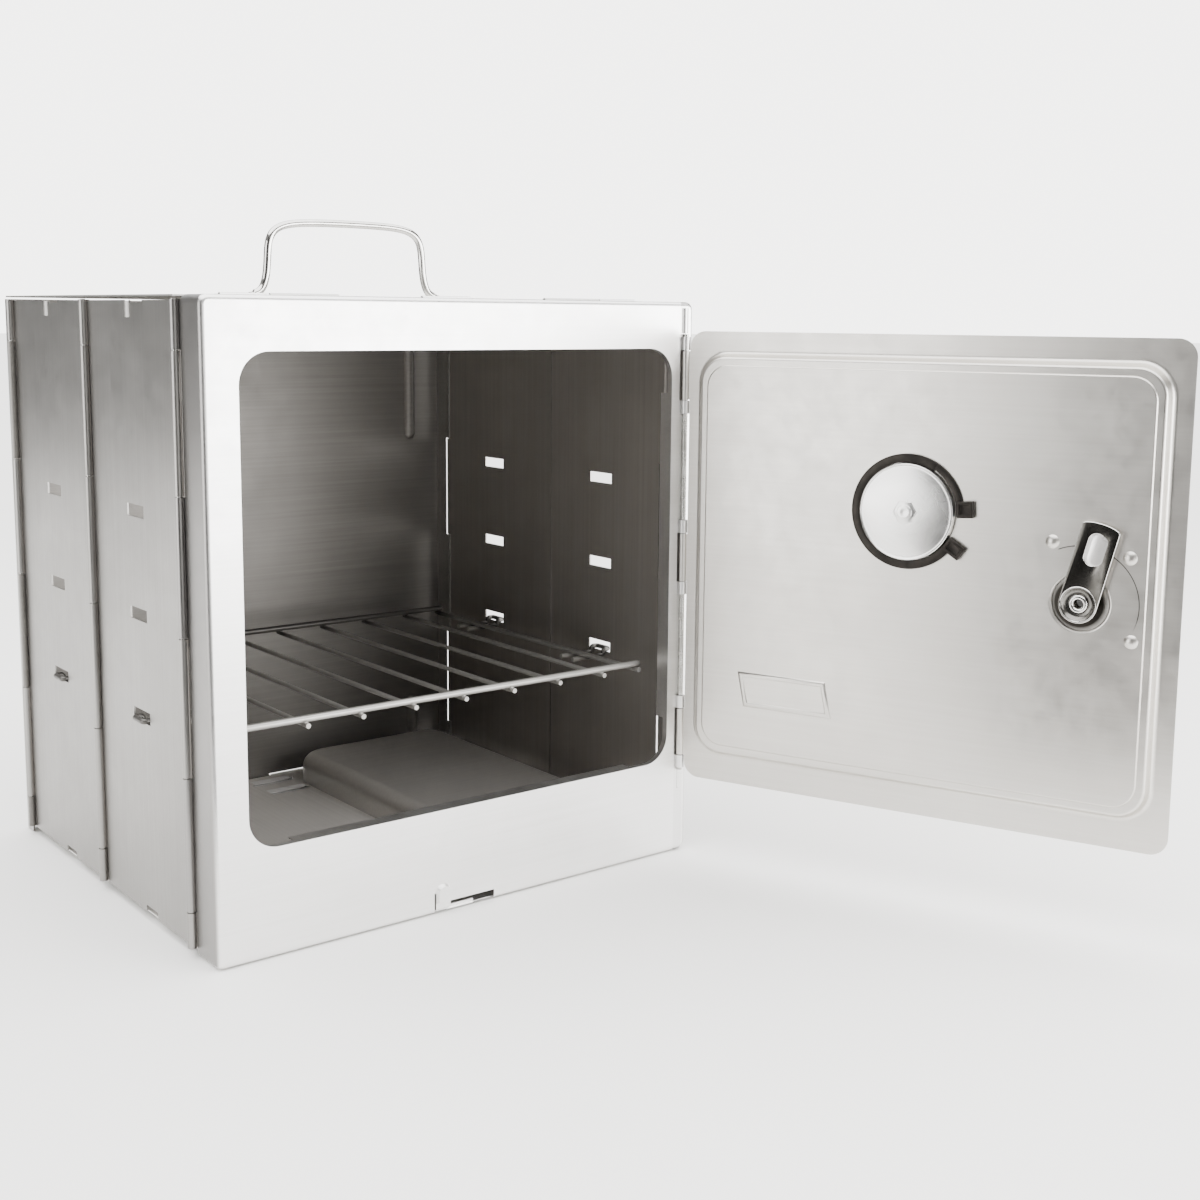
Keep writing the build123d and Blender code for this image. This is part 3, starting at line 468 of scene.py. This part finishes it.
# its tone is darker than the front's: painted shade of the door as it stands open
door_steel = satin_sheet("satin_steel_door", "#D2CFC9", "#CAC6C0", 0.32, "X", centre=DOOR_AXIS,
                         turn=DOOR_TURN)
tree = door_steel.node_tree
spot = add(tree, "ShaderNodeMapping", {
    "Vector": add(tree, "ShaderNodeTexCoord").outputs["Object"], "Location": DOOR_AXIS,
    "Rotation": (0, 0, DOOR_TURN),
}, vector_type="TEXTURE")
from_latch = add(tree, "ShaderNodeVectorMath",
                 {0: spot.outputs["Vector"], 1: (LATCH_S, 0, LATCH_Z)}, operation="SUBTRACT")
flat = add(tree, "ShaderNodeVectorMath", {0: from_latch.outputs["Vector"], 1: (1, 0, 1)},
           operation="MULTIPLY")
reach = add(tree, "ShaderNodeVectorMath", {0: flat.outputs["Vector"]}, operation="LENGTH")
part = add(tree, "ShaderNodeSeparateXYZ", {"Vector": flat.outputs["Vector"]})
around = add(tree, "ShaderNodeMath", {0: part.outputs["X"], 1: part.outputs["Z"]},
             operation="ARCTAN2")
off = add(tree, "ShaderNodeMath", {0: reach.outputs["Value"], 1: ARC_RADIUS}, operation="SUBTRACT")
away = add(tree, "ShaderNodeMath", {0: off.outputs[0]}, operation="ABSOLUTE")
line = add(tree, "ShaderNodeMapRange", {
    "Value": away.outputs[0], "From Min": ARC_EDGE[0], "From Max": ARC_EDGE[1],
    "To Min": 1.0, "To Max": 0.0,
})
begins = add(tree, "ShaderNodeMapRange",
             {"Value": around.outputs[0], "From Min": ARC_BEGINS[0], "From Max": ARC_BEGINS[1]})
ends = add(tree, "ShaderNodeMapRange", {
    "Value": around.outputs[0], "From Min": ARC_ENDS[0], "From Max": ARC_ENDS[1],
    "To Min": 1.0, "To Max": 0.0,
})
span = add(tree, "ShaderNodeMath", {0: begins.outputs["Result"], 1: ends.outputs["Result"]},
           operation="MULTIPLY")
arc = add(tree, "ShaderNodeMath", {0: line.outputs["Result"], 1: span.outputs[0]},
          operation="MULTIPLY")
# the latch's dish is dark too: painted shade in its hollow
from_dish_shade = add(tree, "ShaderNodeVectorMath", {0: flat.outputs["Vector"], 1: DISH_MIDDLE},
                operation="DISTANCE")
dish_shade = add(tree, "ShaderNodeMapRange", {
    "Value": from_dish_shade.outputs["Value"], "From Min": DISH_EDGE[0], "From Max": DISH_EDGE[1],
    "To Min": 1.0, "To Max": 0.0,
})
toned(door_steel, dish_shade.outputs["Result"], "#3D3A36")
toned(door_steel, arc.outputs[0], "#3E3B37")
# painted shade in the door hinge's gaps
shaded_barrels(door_steel)
finish(("door_panel",), door_steel)

# the door's own frame: along it from the hinge, up it, and out of the side that faced the oven
DOOR_FRAME = Matrix((
    (DOOR_RUN[0], 0, DOOR_RUN[1], DOOR_AXIS[0]), (DOOR_RUN[1], 0, -DOOR_RUN[0], DOOR_AXIS[1]),
    (0, 1, 0, 0), (0, 0, 0, 1),
))


def alone(piece):
    """Makes a piece the only selected one, and the active one."""
    bpy.ops.object.select_all(action="DESELECT")
    piece.select_set(True)
    bpy.context.view_layer.objects.active = piece


def stand(piece, name, s, z, mat, body, slot, replaced=()):
    """Moves a piece modelled flat, face up, to the open door, and hands it over."""
    piece.name = piece.data.name = name
    piece.matrix_world = DOOR_FRAME @ Matrix.Translation((s, z, 0)) @ piece.matrix_world
    alone(piece)
    bpy.ops.object.transform_apply()
    piece.data.materials.clear()
    piece.data.materials.append(mat)
    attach(piece, body)
    if replaced:
        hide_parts(*replaced)


# the plain plate: a slanted panel with a raised border round its sunk middle
PLATE = (0.0646, 0.09950)            # its middle, along the door and up it
PLATE_SIZE = (0.0506, 0.0195)
PLATE_FOOT = 0.0066                  # just under the field's surface
PLATE_SHEET = 0.0004
bpy.ops.object.select_all(action="DESELECT")
bpy.ops.mesh.primitive_plane_add(size=1, location=(0, 0, PLATE_FOOT))
panel = bpy.context.object
panel.scale = (*PLATE_SIZE, 1)
bpy.ops.object.transform_apply()
# its upper and its lower edge are shifted along the door
for high, slant in ((True, -0.0018), (False, 0.0021)):
    pick(panel.data, "vertices", lambda v: (v.co.y > 0) == high)
    bpy.ops.transform.translate(value=(slant, 0, 0))
bpy.ops.mesh.select_all(action="SELECT")
# the border rises, runs level and falls again to the middle
for inward, rise in ((0.0003, 0.0002), (0.0005, 0.0006), (0.0003, 0.0001), (0.0012, 0),
                     (0.0003, -0.0001), (0.0004, -0.0004)):
    bpy.ops.mesh.inset(thickness=inward, depth=rise)
bpy.ops.object.mode_set(mode="OBJECT")
sheet = panel.modifiers.new("sheet", "SOLIDIFY")
sheet.thickness, sheet.offset = PLATE_SHEET, -1
bpy.ops.object.modifier_apply(modifier="sheet")
bpy.ops.object.shade_smooth_by_angle(angle=radians(40))
stand(panel, "door_plain_plate", *PLATE, door_steel, "door", "sheet")


# ---- Thermometer ---------------------------------------------------------------------------
# A round stainless case stands through the door, dial outside. Inside, a blackened spring clamp
# with two folded lugs grips it against the sheet, and its spun back has a hexagon boss.
GAUGE = (0.1293, 0.202)              # along the door and up it


def turned(profile, ring=False, sides=96, smooth=35):
    """A body of revolution about Z: each step draws the last loop to its radius and height."""
    bpy.ops.object.select_all(action="DESELECT")
    radius, height = profile[0]
    bpy.ops.mesh.primitive_circle_add(vertices=sides, radius=radius, fill_type="NOTHING",
                                      location=(0, 0, height))
    bpy.ops.object.transform_apply()
    bpy.ops.object.mode_set(mode="EDIT")
    bpy.ops.mesh.select_all(action="SELECT")
    for out, rise in profile[1:] + (profile[:1] if ring else ()):
        bpy.ops.mesh.extrude_edges_move(TRANSFORM_OT_translate={"value": (0, 0, rise - height)})
        bpy.ops.transform.resize(value=(out / radius, out / radius, 1), center_override=(0, 0, 0))
        radius, height = out, rise
    bpy.ops.mesh.select_all(action="SELECT")
    bpy.ops.mesh.remove_doubles(threshold=1e-6)
    if not ring:
        bpy.ops.mesh.fill_holes(sides=0)
        bpy.ops.mesh.select_all(action="SELECT")
    bpy.ops.mesh.normals_make_consistent(inside=False)
    bpy.ops.object.mode_set(mode="OBJECT")
    bpy.ops.object.shade_smooth_by_angle(angle=radians(smooth))
    return bpy.context.object


def spun_steel(name, light, dark, rough, middle, turn=DOOR_TURN, relief=0.12):
    """Bright steel spun on a lathe: rings of tone and relief about the piece's own middle."""
    mat, tree, shader = material(name)
    place = add(tree, "ShaderNodeMapping", {
        "Vector": add(tree, "ShaderNodeTexCoord").outputs["Object"], "Location": middle,
        "Rotation": (0, 0, turn),
    }, vector_type="TEXTURE").outputs["Vector"]
    flat = add(tree, "ShaderNodeVectorMath", {0: place, 1: (1, 0, 1)}, operation="MULTIPLY")
    reach = add(tree, "ShaderNodeVectorMath", {0: flat.outputs["Vector"]}, operation="LENGTH")
    # turning marks, really 0.1 mm apart, drawn at 0.7 mm
    rings = add(tree, "ShaderNodeTexNoise",
                {"W": reach.outputs["Value"], "Scale": 1400.0, "Detail": 3.0},
                noise_dimensions="1D")
    cloud = add(tree, "ShaderNodeTexNoise", {"Vector": place, "Scale": 55.0, "Detail": 3.0})
    both = add(tree, "ShaderNodeMath", {0: rings.outputs["Fac"], 1: cloud.outputs["Fac"]},
               operation="ADD")
    tone = add(tree, "ShaderNodeMapRange",
               {"Value": both.outputs[0], "From Min": 0.7, "From Max": 1.3})
    mix = add(tree, "ShaderNodeMix",
              {"Factor": tone.outputs["Result"], 6: colour(dark), 7: colour(light)},
              data_type="RGBA")
    tree.links.new(mix.outputs[2], shader.inputs["Base Color"])
    worn = add(tree, "ShaderNodeMapRange", {
        "Value": cloud.outputs["Fac"], "From Min": 0.3, "From Max": 0.7,
        "To Min": rough - 0.03, "To Max": rough + 0.05,
    })
    tree.links.new(worn.outputs["Result"], shader.inputs["Roughness"])
    shader.inputs["Metallic"].default_value = 1.0
    bump = add(tree, "ShaderNodeBump",
               {"Height": rings.outputs["Fac"], "Strength": relief, "Distance": 0.00005})
    tree.links.new(bump.outputs["Normal"], shader.inputs["Normal"])
    return mat


def joined(pieces):
    """Joins pieces into the first of them."""
    alone(pieces[0])
    for piece in pieces[1:]:
        piece.select_set(True)
    bpy.ops.object.join()
    return bpy.context.object


gauge_middle = tuple(DOOR_FRAME @ Vector((*GAUGE, 0)))
case_steel = spun_steel("spun_stainless_case", "#EDECEA", "#DCDAD7", 0.24, gauge_middle)
# up inside the wall from the mouth, in under the back, out over it to the rim, and down
case = turned((
    (0.0237, 0.00125), (0.0237, 0.0088), (0.0210, 0.0092), (0.0004, 0.0096), (0.0004, 0.0107),
    (0.0060, 0.01066), (0.0110, 0.01052), (0.0160, 0.01028), (0.0200, 0.00995), (0.0220, 0.00970),
    (0.0229, 0.00955), (0.0232, 0.00960), (0.0235, 0.00990), (0.0238, 0.01005), (0.0242, 0.00985),
    (0.0245, 0.0092), (0.0245, 0.00125),
), ring=True)
stand(case, "gauge_case", *GAUGE, case_steel, "door", "bright", ["thermo_case"])

BOSS_RADIUS, BOSS_DEPTH, BOSS_MIDDLE = 0.0060, 0.0010, 0.0109
bpy.ops.object.select_all(action="DESELECT")
bpy.ops.mesh.primitive_cylinder_add(vertices=6, radius=BOSS_RADIUS, depth=BOSS_DEPTH,
                                    location=(0, 0, BOSS_MIDDLE), rotation=(0, 0, radians(30)))
boss = bpy.context.object
bpy.ops.object.mode_set(mode="EDIT")
bpy.ops.mesh.select_all(action="SELECT")
bpy.ops.mesh.bevel(offset=0.0003, segments=3)
bpy.ops.object.mode_set(mode="OBJECT")
dome = turned((
    (0.0038, 0.0112), (0.0038, 0.0115), (0.0036, 0.0117), (0.0030, 0.0118), (0.0018, 0.0118),
    (0.0010, 0.0117), (0.0002, 0.0117),
), sides=40)
joined((boss, dome))
bpy.ops.object.shade_smooth_by_angle(angle=radians(35))
stand(boss, "gauge_boss", *GAUGE, case_steel, "door", "bright", ["thermo_hub"])

# the clamp is a strip of spring steel, narrower over its last part, blackened and oiled
blackened = plated_wire("blackened_spring_steel", "#35322F", "#2A2826", 0.42, mottle=140.0,
                        relief=0.2)
CLAMP_LOW, CLAMP_HIGH, CLAMP_OUTER = 0.0068, 0.0083, 0.029
LUG_TALL, LUG_RIM, LUG_SUNK = 0.0030, 0.0016, 0.0014
strips = []
# its inner radius, and where each part starts and how far it sweeps, in degrees
for inner, start, sweep in ((0.02465, 58, 274), (0.0256, 7, 52)):
    bpy.ops.object.select_all(action="DESELECT")
    middle = (inner + CLAMP_OUTER) / 2
    bpy.ops.mesh.primitive_plane_add(
        size=1, rotation=(radians(90), 0, radians(start)),
        location=(middle * cos(radians(start)), middle * sin(radians(start)),
                  (CLAMP_LOW + CLAMP_HIGH) / 2),
    )
    strip = bpy.context.object
    strip.scale = (CLAMP_OUTER - inner, CLAMP_HIGH - CLAMP_LOW, 1)
    bpy.ops.object.transform_apply()
    bpy.ops.object.mode_set(mode="EDIT")
    bpy.ops.mesh.select_all(action="SELECT")
    bpy.ops.mesh.spin(steps=max(12, sweep // 3), angle=-radians(sweep), center=(0, 0, 0),
                      axis=(0, 0, 1))
    bpy.ops.mesh.select_all(action="SELECT")
    bpy.ops.mesh.remove_doubles(threshold=1e-6)
    bpy.ops.mesh.normals_make_consistent(inside=False)
    bpy.ops.object.mode_set(mode="OBJECT")
    edge = strip.modifiers.new("edge", "BEVEL")
    edge.width, edge.segments, edge.limit_method = 0.00025, 2, "ANGLE"
    bpy.ops.object.modifier_apply(modifier="edge")
    strips.append(strip)
# each lug is the strip's end folded up into a small open box
for s, z, lean, wide, tall in ((0.0300, 0.0030, -4, 0.0084, 0.0082),
                               (0.0250, -0.0167, 34, 0.0098, 0.0072)):
    bpy.ops.object.select_all(action="DESELECT")
    bpy.ops.mesh.primitive_cube_add(size=1, location=(s, z, CLAMP_HIGH),
                                    rotation=(0, 0, -radians(lean)))
    lug = bpy.context.object
    lug.scale = (wide, tall, LUG_TALL)
    bpy.ops.object.transform_apply(location=False, rotation=False)
    pick(lug.data, "polygons", lambda face: face.normal.z > 0.5)
    bpy.ops.mesh.inset(thickness=LUG_RIM)
    bpy.ops.mesh.extrude_region_move(TRANSFORM_OT_translate={"value": (0, 0, -LUG_SUNK)})
    bpy.ops.object.mode_set(mode="OBJECT")
    edge = lug.modifiers.new("edge", "BEVEL")
    edge.width, edge.segments, edge.limit_method = 0.0004, 3, "ANGLE"
    bpy.ops.object.modifier_apply(modifier="edge")
    strips.append(lug)
clamp = joined(strips)
bpy.ops.object.shade_smooth_by_angle(angle=radians(40))
stand(clamp, "gauge_clamp", *GAUGE, blackened, "door", "clamp", ["thermo_clamp"])

# the outside: a polished bezel over a clear glass, an enamelled dial with ticks, a black needle
bezel_steel = spun_steel("polished_bezel", "#E6E5E2", "#D2D0CC", 0.14, gauge_middle, relief=0.05)
finish(("thermo_bezel",), bezel_steel)
glass, tree, shader = material("clear_window_glass")
shader.inputs["Base Color"].default_value = colour("#F4F8F6")
shader.inputs["Transmission Weight"].default_value = 1.0
shader.inputs["IOR"].default_value = 1.5
# wiped smears, about 8 mm across
smear = add(tree, "ShaderNodeTexNoise", {
    "Vector": add(tree, "ShaderNodeTexCoord").outputs["Object"], "Scale": 120.0, "Detail": 3.0,
})
wiped = add(tree, "ShaderNodeMapRange", {
    "Value": smear.outputs["Fac"], "From Min": 0.4, "From Max": 0.8, "To Min": 0.01, "To Max": 0.09,
})
tree.links.new(wiped.outputs["Result"], shader.inputs["Roughness"])
finish(("thermo_glass",), glass)

TICK_REACH = 0.02                    # where a tick's width is measured, from the middle
DIAL_SWEEP = 120                     # degrees either side of straight up
dial, tree, shader = material("enamelled_dial")
place = add(tree, "ShaderNodeMapping", {
    "Vector": add(tree, "ShaderNodeTexCoord").outputs["Object"], "Location": gauge_middle,
    "Rotation": (0, 0, DOOR_TURN),
}, vector_type="TEXTURE").outputs["Vector"]
flat = add(tree, "ShaderNodeVectorMath", {0: place, 1: (-1, 0, 1)}, operation="MULTIPLY")
reach = add(tree, "ShaderNodeVectorMath", {0: flat.outputs["Vector"]},
            operation="LENGTH").outputs["Value"]
part = add(tree, "ShaderNodeSeparateXYZ", {"Vector": flat.outputs["Vector"]})
around = add(tree, "ShaderNodeMath", {0: part.outputs["X"], 1: part.outputs["Z"]},
             operation="ARCTAN2").outputs[0]
swing = add(tree, "ShaderNodeMath", {0: around}, operation="ABSOLUTE").outputs[0]
marks = None
# ticks every 30 degrees and every 6, over 240 degrees of the dial, with a thin ring round them:
# how many to a turn, their width, and where they begin and end
for each, width, low, high in ((12, 0.0022, 0.0162, 0.0208), (60, 0.0010, 0.0188, 0.0208),
                               (0, 0, 0.0209, 0.0212)):
    below = add(tree, "ShaderNodeMath", {0: reach, 1: high}, operation="LESS_THAN").outputs[0]
    band = add(tree, "ShaderNodeMath", {
        0: add(tree, "ShaderNodeMath", {0: reach, 1: low}, operation="GREATER_THAN").outputs[0],
        1: below,
    }, operation="MULTIPLY").outputs[0]
    if each:
        count = add(tree, "ShaderNodeMath", {0: around, 1: each / (2 * pi)},
                    operation="MULTIPLY").outputs[0]
        # distance from the nearest tick, in radians, against its half width as seen from the middle
        nearest = add(tree, "ShaderNodeMath", {
            0: add(tree, "ShaderNodeMath", {0: count, 1: 0.5}, operation="PINGPONG").outputs[0],
            1: 2 * pi / each,
        }, operation="MULTIPLY").outputs[0]
        tick = add(tree, "ShaderNodeMath", {0: nearest, 1: width / (2 * TICK_REACH)},
                   operation="LESS_THAN").outputs[0]
        band = add(tree, "ShaderNodeMath", {0: band, 1: tick}, operation="MULTIPLY").outputs[0]
    marks = band if marks is None else add(tree, "ShaderNodeMath", {0: marks, 1: band},
                                           operation="MAXIMUM").outputs[0]
within = add(tree, "ShaderNodeMath", {0: swing, 1: radians(DIAL_SWEEP + 2)},
             operation="LESS_THAN").outputs[0]
inked = add(tree, "ShaderNodeMath", {0: marks, 1: within}, operation="MULTIPLY").outputs[0]
grime = add(tree, "ShaderNodeTexNoise", {"Vector": place, "Scale": 90.0, "Detail": 4.0})
white = add(tree, "ShaderNodeMix",
            {"Factor": grime.outputs["Fac"], 6: colour("#EFEDE6"), 7: colour("#F7F6F2")},
            data_type="RGBA")
printed = add(tree, "ShaderNodeMix", {"Factor": inked, 6: white.outputs[2], 7: colour("#1C1C1C")},
              data_type="RGBA")
tree.links.new(printed.outputs[2], shader.inputs["Base Color"])
shader.inputs["Roughness"].default_value = 0.35
finish(("thermo_dial",), dial)

# figures of enamel ink at every long tick, clockwise as seen from outside
FIGURE_RING, FIGURE_SIZE, DIAL_FACE = 0.0128, 0.0038, 0.00357
bpy.ops.object.select_all(action="DESELECT")
figures = []
for step in range(9):
    angle = radians(30 * step - DIAL_SWEEP)
    bpy.ops.object.text_add(location=(0, 0, 0))
    figure = bpy.context.object
    figure.data.body = str(50 * step + 50)
    figure.data.size = FIGURE_SIZE
    figure.data.align_x, figure.data.align_y = "CENTER", "CENTER"
    figure.data.extrude = 0.00004
    figure.data.resolution_u = 3
    bpy.ops.object.convert(target="MESH")
    figure.matrix_world = Matrix.Translation((
        -FIGURE_RING * sin(angle), FIGURE_RING * cos(angle), DIAL_FACE,
    )) @ Matrix.Rotation(pi, 4, "Y")
    figures.append(figure)
    bpy.ops.object.select_all(action="DESELECT")
joined(figures)
bpy.ops.object.transform_apply()
ink, tree, shader = material("black_enamel_ink")
speck = add(tree, "ShaderNodeTexNoise", {
    "Vector": add(tree, "ShaderNodeTexCoord").outputs["Object"], "Scale": 900.0, "Detail": 2.0,
})
inked = add(tree, "ShaderNodeMix",
            {"Factor": speck.outputs["Fac"], 6: colour("#141414"), 7: colour("#262626")},
            data_type="RGBA")
tree.links.new(inked.outputs[2], shader.inputs["Base Color"])
shader.inputs["Roughness"].default_value = 0.4
stand(bpy.context.object, "gauge_figures", *GAUGE, ink, "door", "dial")
finish(("thermo_pointer",), ink)


# ---- Latch ---------------------------------------------------------------------------------
# Inside, a chromed steel arm with a pressed oblong and a cupped lower end turns on a hollow
# rivet. The chrome's dark mirror is painted dark, a painted reflection, and its bright edges are a
# painted highlight. A shaft joins it to the outside lever.
EDGE_FACING = (0.86, 0.985)          # how squarely the arm's flat faces out, against its edges
arm_chrome = plated_wire("hazed_chrome_arm_painted_light", "#64625E", "#45433F", 0.2, mottle=110.0, relief=0.02)
# its flat is hazed and painted dark, a painted dark reflection, and its rounded edges are a painted
# highlight
tree = arm_chrome.node_tree
facing = add(tree, "ShaderNodeVectorMath", {
    0: add(tree, "ShaderNodeTexCoord").outputs["Normal"], 1: DOOR_FRAME.col[2].to_3d(),
}, operation="DOT_PRODUCT")
edge_highlight = add(tree, "ShaderNodeMapRange", {
    "Value": facing.outputs["Value"], "From Min": EDGE_FACING[0], "From Max": EDGE_FACING[1],
    "To Min": 1.0, "To Max": 0.0,
})
toned(arm_chrome, edge_highlight.outputs["Result"], "#EFEDEA")
pressed_chrome = plated_wire("pressed_chrome_oblong", "#E6E4E1", "#D8D6D3", 0.24, relief=0.03)
# the oblong scatters some light as well as mirroring the room
pressed_chrome.node_tree.nodes["Principled BSDF"].inputs["Metallic"].default_value = 0.7
# the cup is painted dark too, a painted dark reflection
cup_chrome = plated_wire("hazed_chrome_cup_painted_dark", "#7A7874", "#5A5855", 0.24, mottle=110.0, relief=0.02)
bright_chrome = plated_wire("bright_chrome", "#E8E7E4", "#D8D6D3", 0.1, relief=0.03)
ARM_LEAN = radians(-13.8)            # towards the free edge
ARM_HALF, ARM_TOP, ARM_FOOT = 0.0091, 0.0404, -0.0092
ARM_LOW, ARM_HIGH = 0.0094, 0.0110   # its two faces, out from the hinge's plane
END_CORNER = 0.00905                 # a half round, just short of half its width
TIP_FLATNESS = 0.29
CUP_SEAT = 0.0083                    # radius of the hole that the cup fills
OBLONG_UP, OBLONG_SIZE, OBLONG_CORNER = 0.0275, (0.0078, 0.0155), 0.00385
NEAR = 0.0001                        # points closer than this are at the same place


def corner(mesh, line, end=None):
    """Whether an edge stands upright, and at the plate's end if one is given."""
    a, b = (mesh.vertices[i].co for i in line.vertices)
    return abs(a.z - b.z) > 0.001 and (end is None or abs(a.y - end) < NEAR)


bpy.ops.object.select_all(action="DESELECT")
bpy.ops.mesh.primitive_cube_add(size=1,
                                location=(0, (ARM_TOP + ARM_FOOT) / 2, (ARM_LOW + ARM_HIGH) / 2))
arm = bpy.context.object
arm.scale = (2 * ARM_HALF, ARM_TOP - ARM_FOOT, ARM_HIGH - ARM_LOW)
bpy.ops.object.transform_apply()
for end in (ARM_FOOT, ARM_TOP):
    bpy.ops.object.mode_set(mode="EDIT")
    bpy.ops.mesh.select_mode(type="EDGE")
    pick(arm.data, "edges", lambda line: corner(arm.data, line, end))
    bpy.ops.mesh.bevel(offset=END_CORNER, segments=14)
    bpy.ops.mesh.select_mode(type="VERT")
# both ends are now half rounds; the far one is flattened to a shallow arc
pick(arm.data, "vertices", lambda v: v.co.y > ARM_TOP - ARM_HALF - NEAR)
bpy.ops.transform.resize(value=(1, TIP_FLATNESS, 1), center_override=(0, ARM_TOP, 0))
bpy.ops.object.mode_set(mode="OBJECT")

# the cup's seat and the oblong are cut out of the plate, for the pressed pieces to fill
cutters = [turned(((CUP_SEAT, 0.0), (CUP_SEAT, 0.02)), sides=64)]
bpy.ops.object.select_all(action="DESELECT")
bpy.ops.mesh.primitive_cube_add(size=1, location=(0, OBLONG_UP, 0.01))
oblong = bpy.context.object
oblong.scale = (*OBLONG_SIZE, 0.01)
bpy.ops.object.transform_apply()
# picked while vertices are the mode, the upright edges bring all twelve into the bevel
pick(oblong.data, "edges", lambda line: corner(oblong.data, line))
bpy.ops.mesh.select_mode(type="EDGE")
bpy.ops.mesh.bevel(offset=OBLONG_CORNER, segments=8)
bpy.ops.mesh.select_mode(type="VERT")
bpy.ops.object.mode_set(mode="OBJECT")
cutters.append(oblong)
for cutter in cutters:
    alone(arm)
    cut = arm.modifiers.new("cut", "BOOLEAN")
    cut.operation, cut.object, cut.solver = "DIFFERENCE", cutter, "EXACT"
    bpy.ops.object.modifier_apply(modifier="cut")
edge = arm.modifiers.new("edge", "BEVEL")
edge.width, edge.segments, edge.limit_method, edge.angle_limit = 0.00045, 3, "ANGLE", radians(50)
bpy.ops.object.modifier_apply(modifier="edge")
bpy.ops.object.shade_smooth_by_angle(angle=radians(35))
bpy.data.objects.remove(cutters[0])

# the cup: a slope down from the plate to its floor, inside a thin raised lip
cup = turned((
    (0.0084, 0.0095), (0.0084, 0.0109), (0.0080, 0.0107), (0.0073, 0.0100), (0.0066, 0.0093),
    (0.0058, 0.0090), (0.0046, 0.0089), (0.0036, 0.0089), (0.0036, 0.0082), (0.0060, 0.0083),
    (0.0074, 0.0088),
), ring=True, sides=72)
lip = turned((
    (0.0081, 0.0108), (0.0082, 0.0111), (0.0084, 0.0112), (0.00855, 0.0111), (0.0086, 0.0108),
), ring=True, sides=72)
# the pressed oblong is a low pillow, its crown raised in four steps and leaned to one side
alone(oblong)
bpy.ops.object.mode_set(mode="EDIT")
bpy.ops.mesh.select_all(action="SELECT")
bpy.ops.transform.resize(value=(1.02, 1.01, 0.12), center_override=(0, OBLONG_UP, 0.0098))
pick(oblong.data, "polygons", lambda face: face.normal.z > 0.9)
for inward, rise, aside in ((0.0004, 0.0003, 0), (0.0006, 0.0001, 0), (0.0010, 0.0002, 0.0006),
                            (0.0013, 0.00025, 0.0008)):
    bpy.ops.mesh.inset(thickness=inward)
    bpy.ops.transform.translate(value=(aside, 0, rise))
bpy.ops.object.mode_set(mode="OBJECT")
bpy.ops.object.shade_smooth_by_angle(angle=radians(50))
for piece in (arm, cup, lip, oblong):
    piece.matrix_world = Matrix.Rotation(ARM_LEAN, 4, "Z") @ piece.matrix_world
stand(arm, "latch_arm_plate", LATCH_S, LATCH_Z, arm_chrome, "latch", "bright", ["latch_arm"])
stand(cup, "latch_arm_cup", LATCH_S, LATCH_Z, cup_chrome, "latch", "bright", ["latch_arm"])
stand(lip, "latch_arm_lip", LATCH_S, LATCH_Z, bright_chrome, "latch", "bright", ["latch_arm"])
stand(oblong, "latch_arm_oblong", LATCH_S, LATCH_Z, pressed_chrome, "latch", "bright",
      ["latch_arm"])

# the hollow rivet: rolled over at its head, with its bore showing dark in the middle
rivet = turned((
    (0.0044, 0.0091), (0.0046, 0.0097), (0.0043, 0.0103), (0.0036, 0.0107), (0.0028, 0.0106),
    (0.0023, 0.0101), (0.0021, 0.0092), (0.0021, 0.0086), (0.0030, 0.0086),
), ring=True, sides=56, smooth=50)
stand(rivet, "latch_rivet_head", LATCH_S, LATCH_Z, bright_chrome, "latch", "bright",
      ["latch_rivet"])
finish(("latch_lever", "latch_shaft"), bright_chrome)
